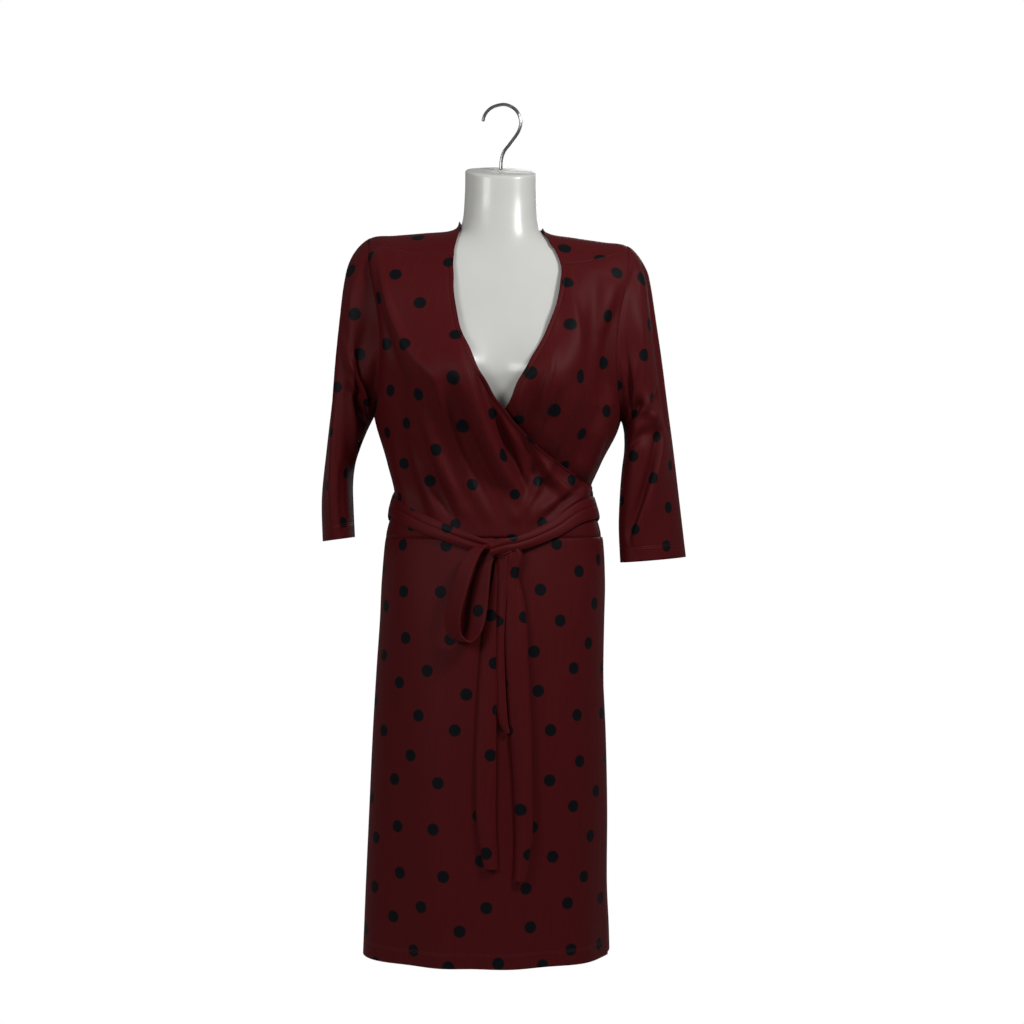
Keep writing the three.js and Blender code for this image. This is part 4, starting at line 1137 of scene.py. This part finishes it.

# %% [markdown]
# Each piece is laid flat on the print, stands for its solid, and is declared with its material.
# The points that give the grain are in mm.

# %% declarations
# piece, the two ends of its grain, the first end's place on the print, and its lean in degrees
CUTTING = [
    (over, (-60, -140, -300), (-60, -130, -480), (224, -92), 3.5),
    (under, (80, -140, -300), (80, -130, -480), (160, -56), 1),
    (back, (0, 110, -300), (0, 110, -560), (20, 30), 0),
    (front_skirt, (9.8, -125, -640), (9.8, -125, -1100), (8, 71), 2),
    (under_skirt, (60, -120, -640), (60, -120, -1100), (60, 40), 0),
    (rear_skirt, (0, 125, -640), (0, 125, -1100), (30, 10), 0),
    (right_sleeve, (-210, -66, -300), (-230, -60, -560), (124, -140), 24),
    (left_sleeve, (190, -66, -300), (200, -45, -560), (112, -156), -2),
    (tie_over, (0, 110, -540), (-150, 0, -560), (90, 20), 0),
    (tie_under, (0, 110, -575), (140, 0, -560), (10, 120), 0),
    (loop, (-58, -150, -694), (-65, -150, -720), (10, 120), 0),
    (tail_over, (-18, -130, -710), (-24, -130, -960), (100, 210), 0),
    (tail_fold, (-4, -130, -680), (-5, -130, -790), (185, 100), 0),
    (tail_under, (13, -130, -710), (22, -130, -970), (150, 120), 0),
]
for piece, top, bottom, at, lean in CUTTING:
    lay_flat(piece, top, bottom, at, lean)

declare(over, "front_over", dress_jersey)
declare(under, "front_under", dress_jersey)
declare(back, "back", dress_jersey)
declare(front_skirt, "skirt_over", hem_jersey)
declare(under_skirt, "skirt_under", hem_jersey)
declare(rear_skirt, "skirt_back", hem_jersey)
declare(right_sleeve, "sleeve_right", hem_jersey)
declare(left_sleeve, "sleeve_left", hem_jersey)
declare(tie_over, "tie_over", belt_jersey)
declare(tie_under, "tie_under", belt_jersey)
declare(loop, "bow_loop", belt_jersey)
declare(tail_over, "tail_over", belt_jersey)
declare(tail_under, "tail_under", belt_jersey)
declare(tail_fold, "tail_under", belt_jersey)
SOLID_PIECES = (
    (knot, "knot", "belt_jersey", belt_jersey),
    (form, "torso_form", "form_plastic", plastic),
    (hook, "hook", "hook_wire", chrome),
)
for piece, node, slot, material in SOLID_PIECES:
    piece.data.materials.append(material)
    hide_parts(node)

# %% [markdown]
# The floor is plain and pale, and the studio light is soft: a main lamp on the right, a
# broad one on the left and a weak one behind. The camera sees a white backdrop, which
# itself gives only a little light, so that the cloth's folds keep their shade.

# %% light and floor
FLOOR_Z, FLOOR_HALF, AMBIENT = -1.5, 0.75, 0.17


def area_light(name, place, aim, size, power):
    lamp = bpy.data.lights.new(name, "AREA")
    lamp.shape, lamp.size, lamp.energy = "SQUARE", size, power
    piece = bpy.data.objects.new(name, lamp)
    bpy.context.scene.collection.objects.link(piece)
    piece.location = place
    piece.rotation_euler = (Vector(aim) - Vector(place)).to_track_quat("-Z", "Y").to_euler()


area_light("key", (0.95, -1.0, 0.5), (0, 0, -0.35), 0.32, 16)
area_light("fill", (-1.3, -1.8, 0.3), (0, 0, -0.5), 0.8, 17)
area_light("back", (0.5, 2.2, 0.3), (0, 0, -0.6), 1.0, 11)
scene = bpy.context.scene
scene.view_settings.view_transform = "Standard"
world = bpy.data.worlds.new("studio")
scene.world = world
world.use_nodes = True
nodes, links = world.node_tree.nodes, world.node_tree.links
dim = nodes["Background"]
dim.inputs["Color"].default_value = (1, 1, 1, 1)
dim.inputs["Strength"].default_value = AMBIENT
seen = nodes.new("ShaderNodeBackground")
seen.inputs["Strength"].default_value = 1.0
seen.inputs["Color"].default_value = (1, 1, 1, 1)
both, ray = nodes.new("ShaderNodeMixShader"), nodes.new("ShaderNodeLightPath")
links.new(ray.outputs["Is Camera Ray"], both.inputs[0])
links.new(dim.outputs[0], both.inputs[1])
links.new(seen.outputs[0], both.inputs[2])
links.new(both.outputs[0], nodes["World Output"].inputs[0])

bm = bmesh.new()
bmesh.ops.create_grid(bm, x_segments=1, y_segments=1, size=FLOOR_HALF)
bmesh.ops.translate(bm, verts=bm.verts, vec=(0, 0, FLOOR_Z))
mesh = bpy.data.meshes.new("floor")
bm.to_mesh(mesh)
bm.free()
floor = bpy.data.objects.new("floor", mesh)
scene.collection.objects.link(floor)
pale = bpy.data.materials.new("pale_floor")
pale.use_nodes = True
paint = pale.node_tree.nodes["Principled BSDF"].inputs
paint["Base Color"].default_value = (0.9, 0.9, 0.9, 1)
paint["Roughness"].default_value = 0.9
floor.data.materials.append(pale)
floor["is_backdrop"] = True

# %% [markdown]
# Last, the box of the solids and the box of the dressed part are written side by side,
# so that the two can be compared.

# %% finish
boxes = {"cad": cad_box, "visual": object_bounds()}
boxes = {name: [list(map(float, corner)) for corner in box] for name, box in boxes.items()}
print("boxes:", boxes)
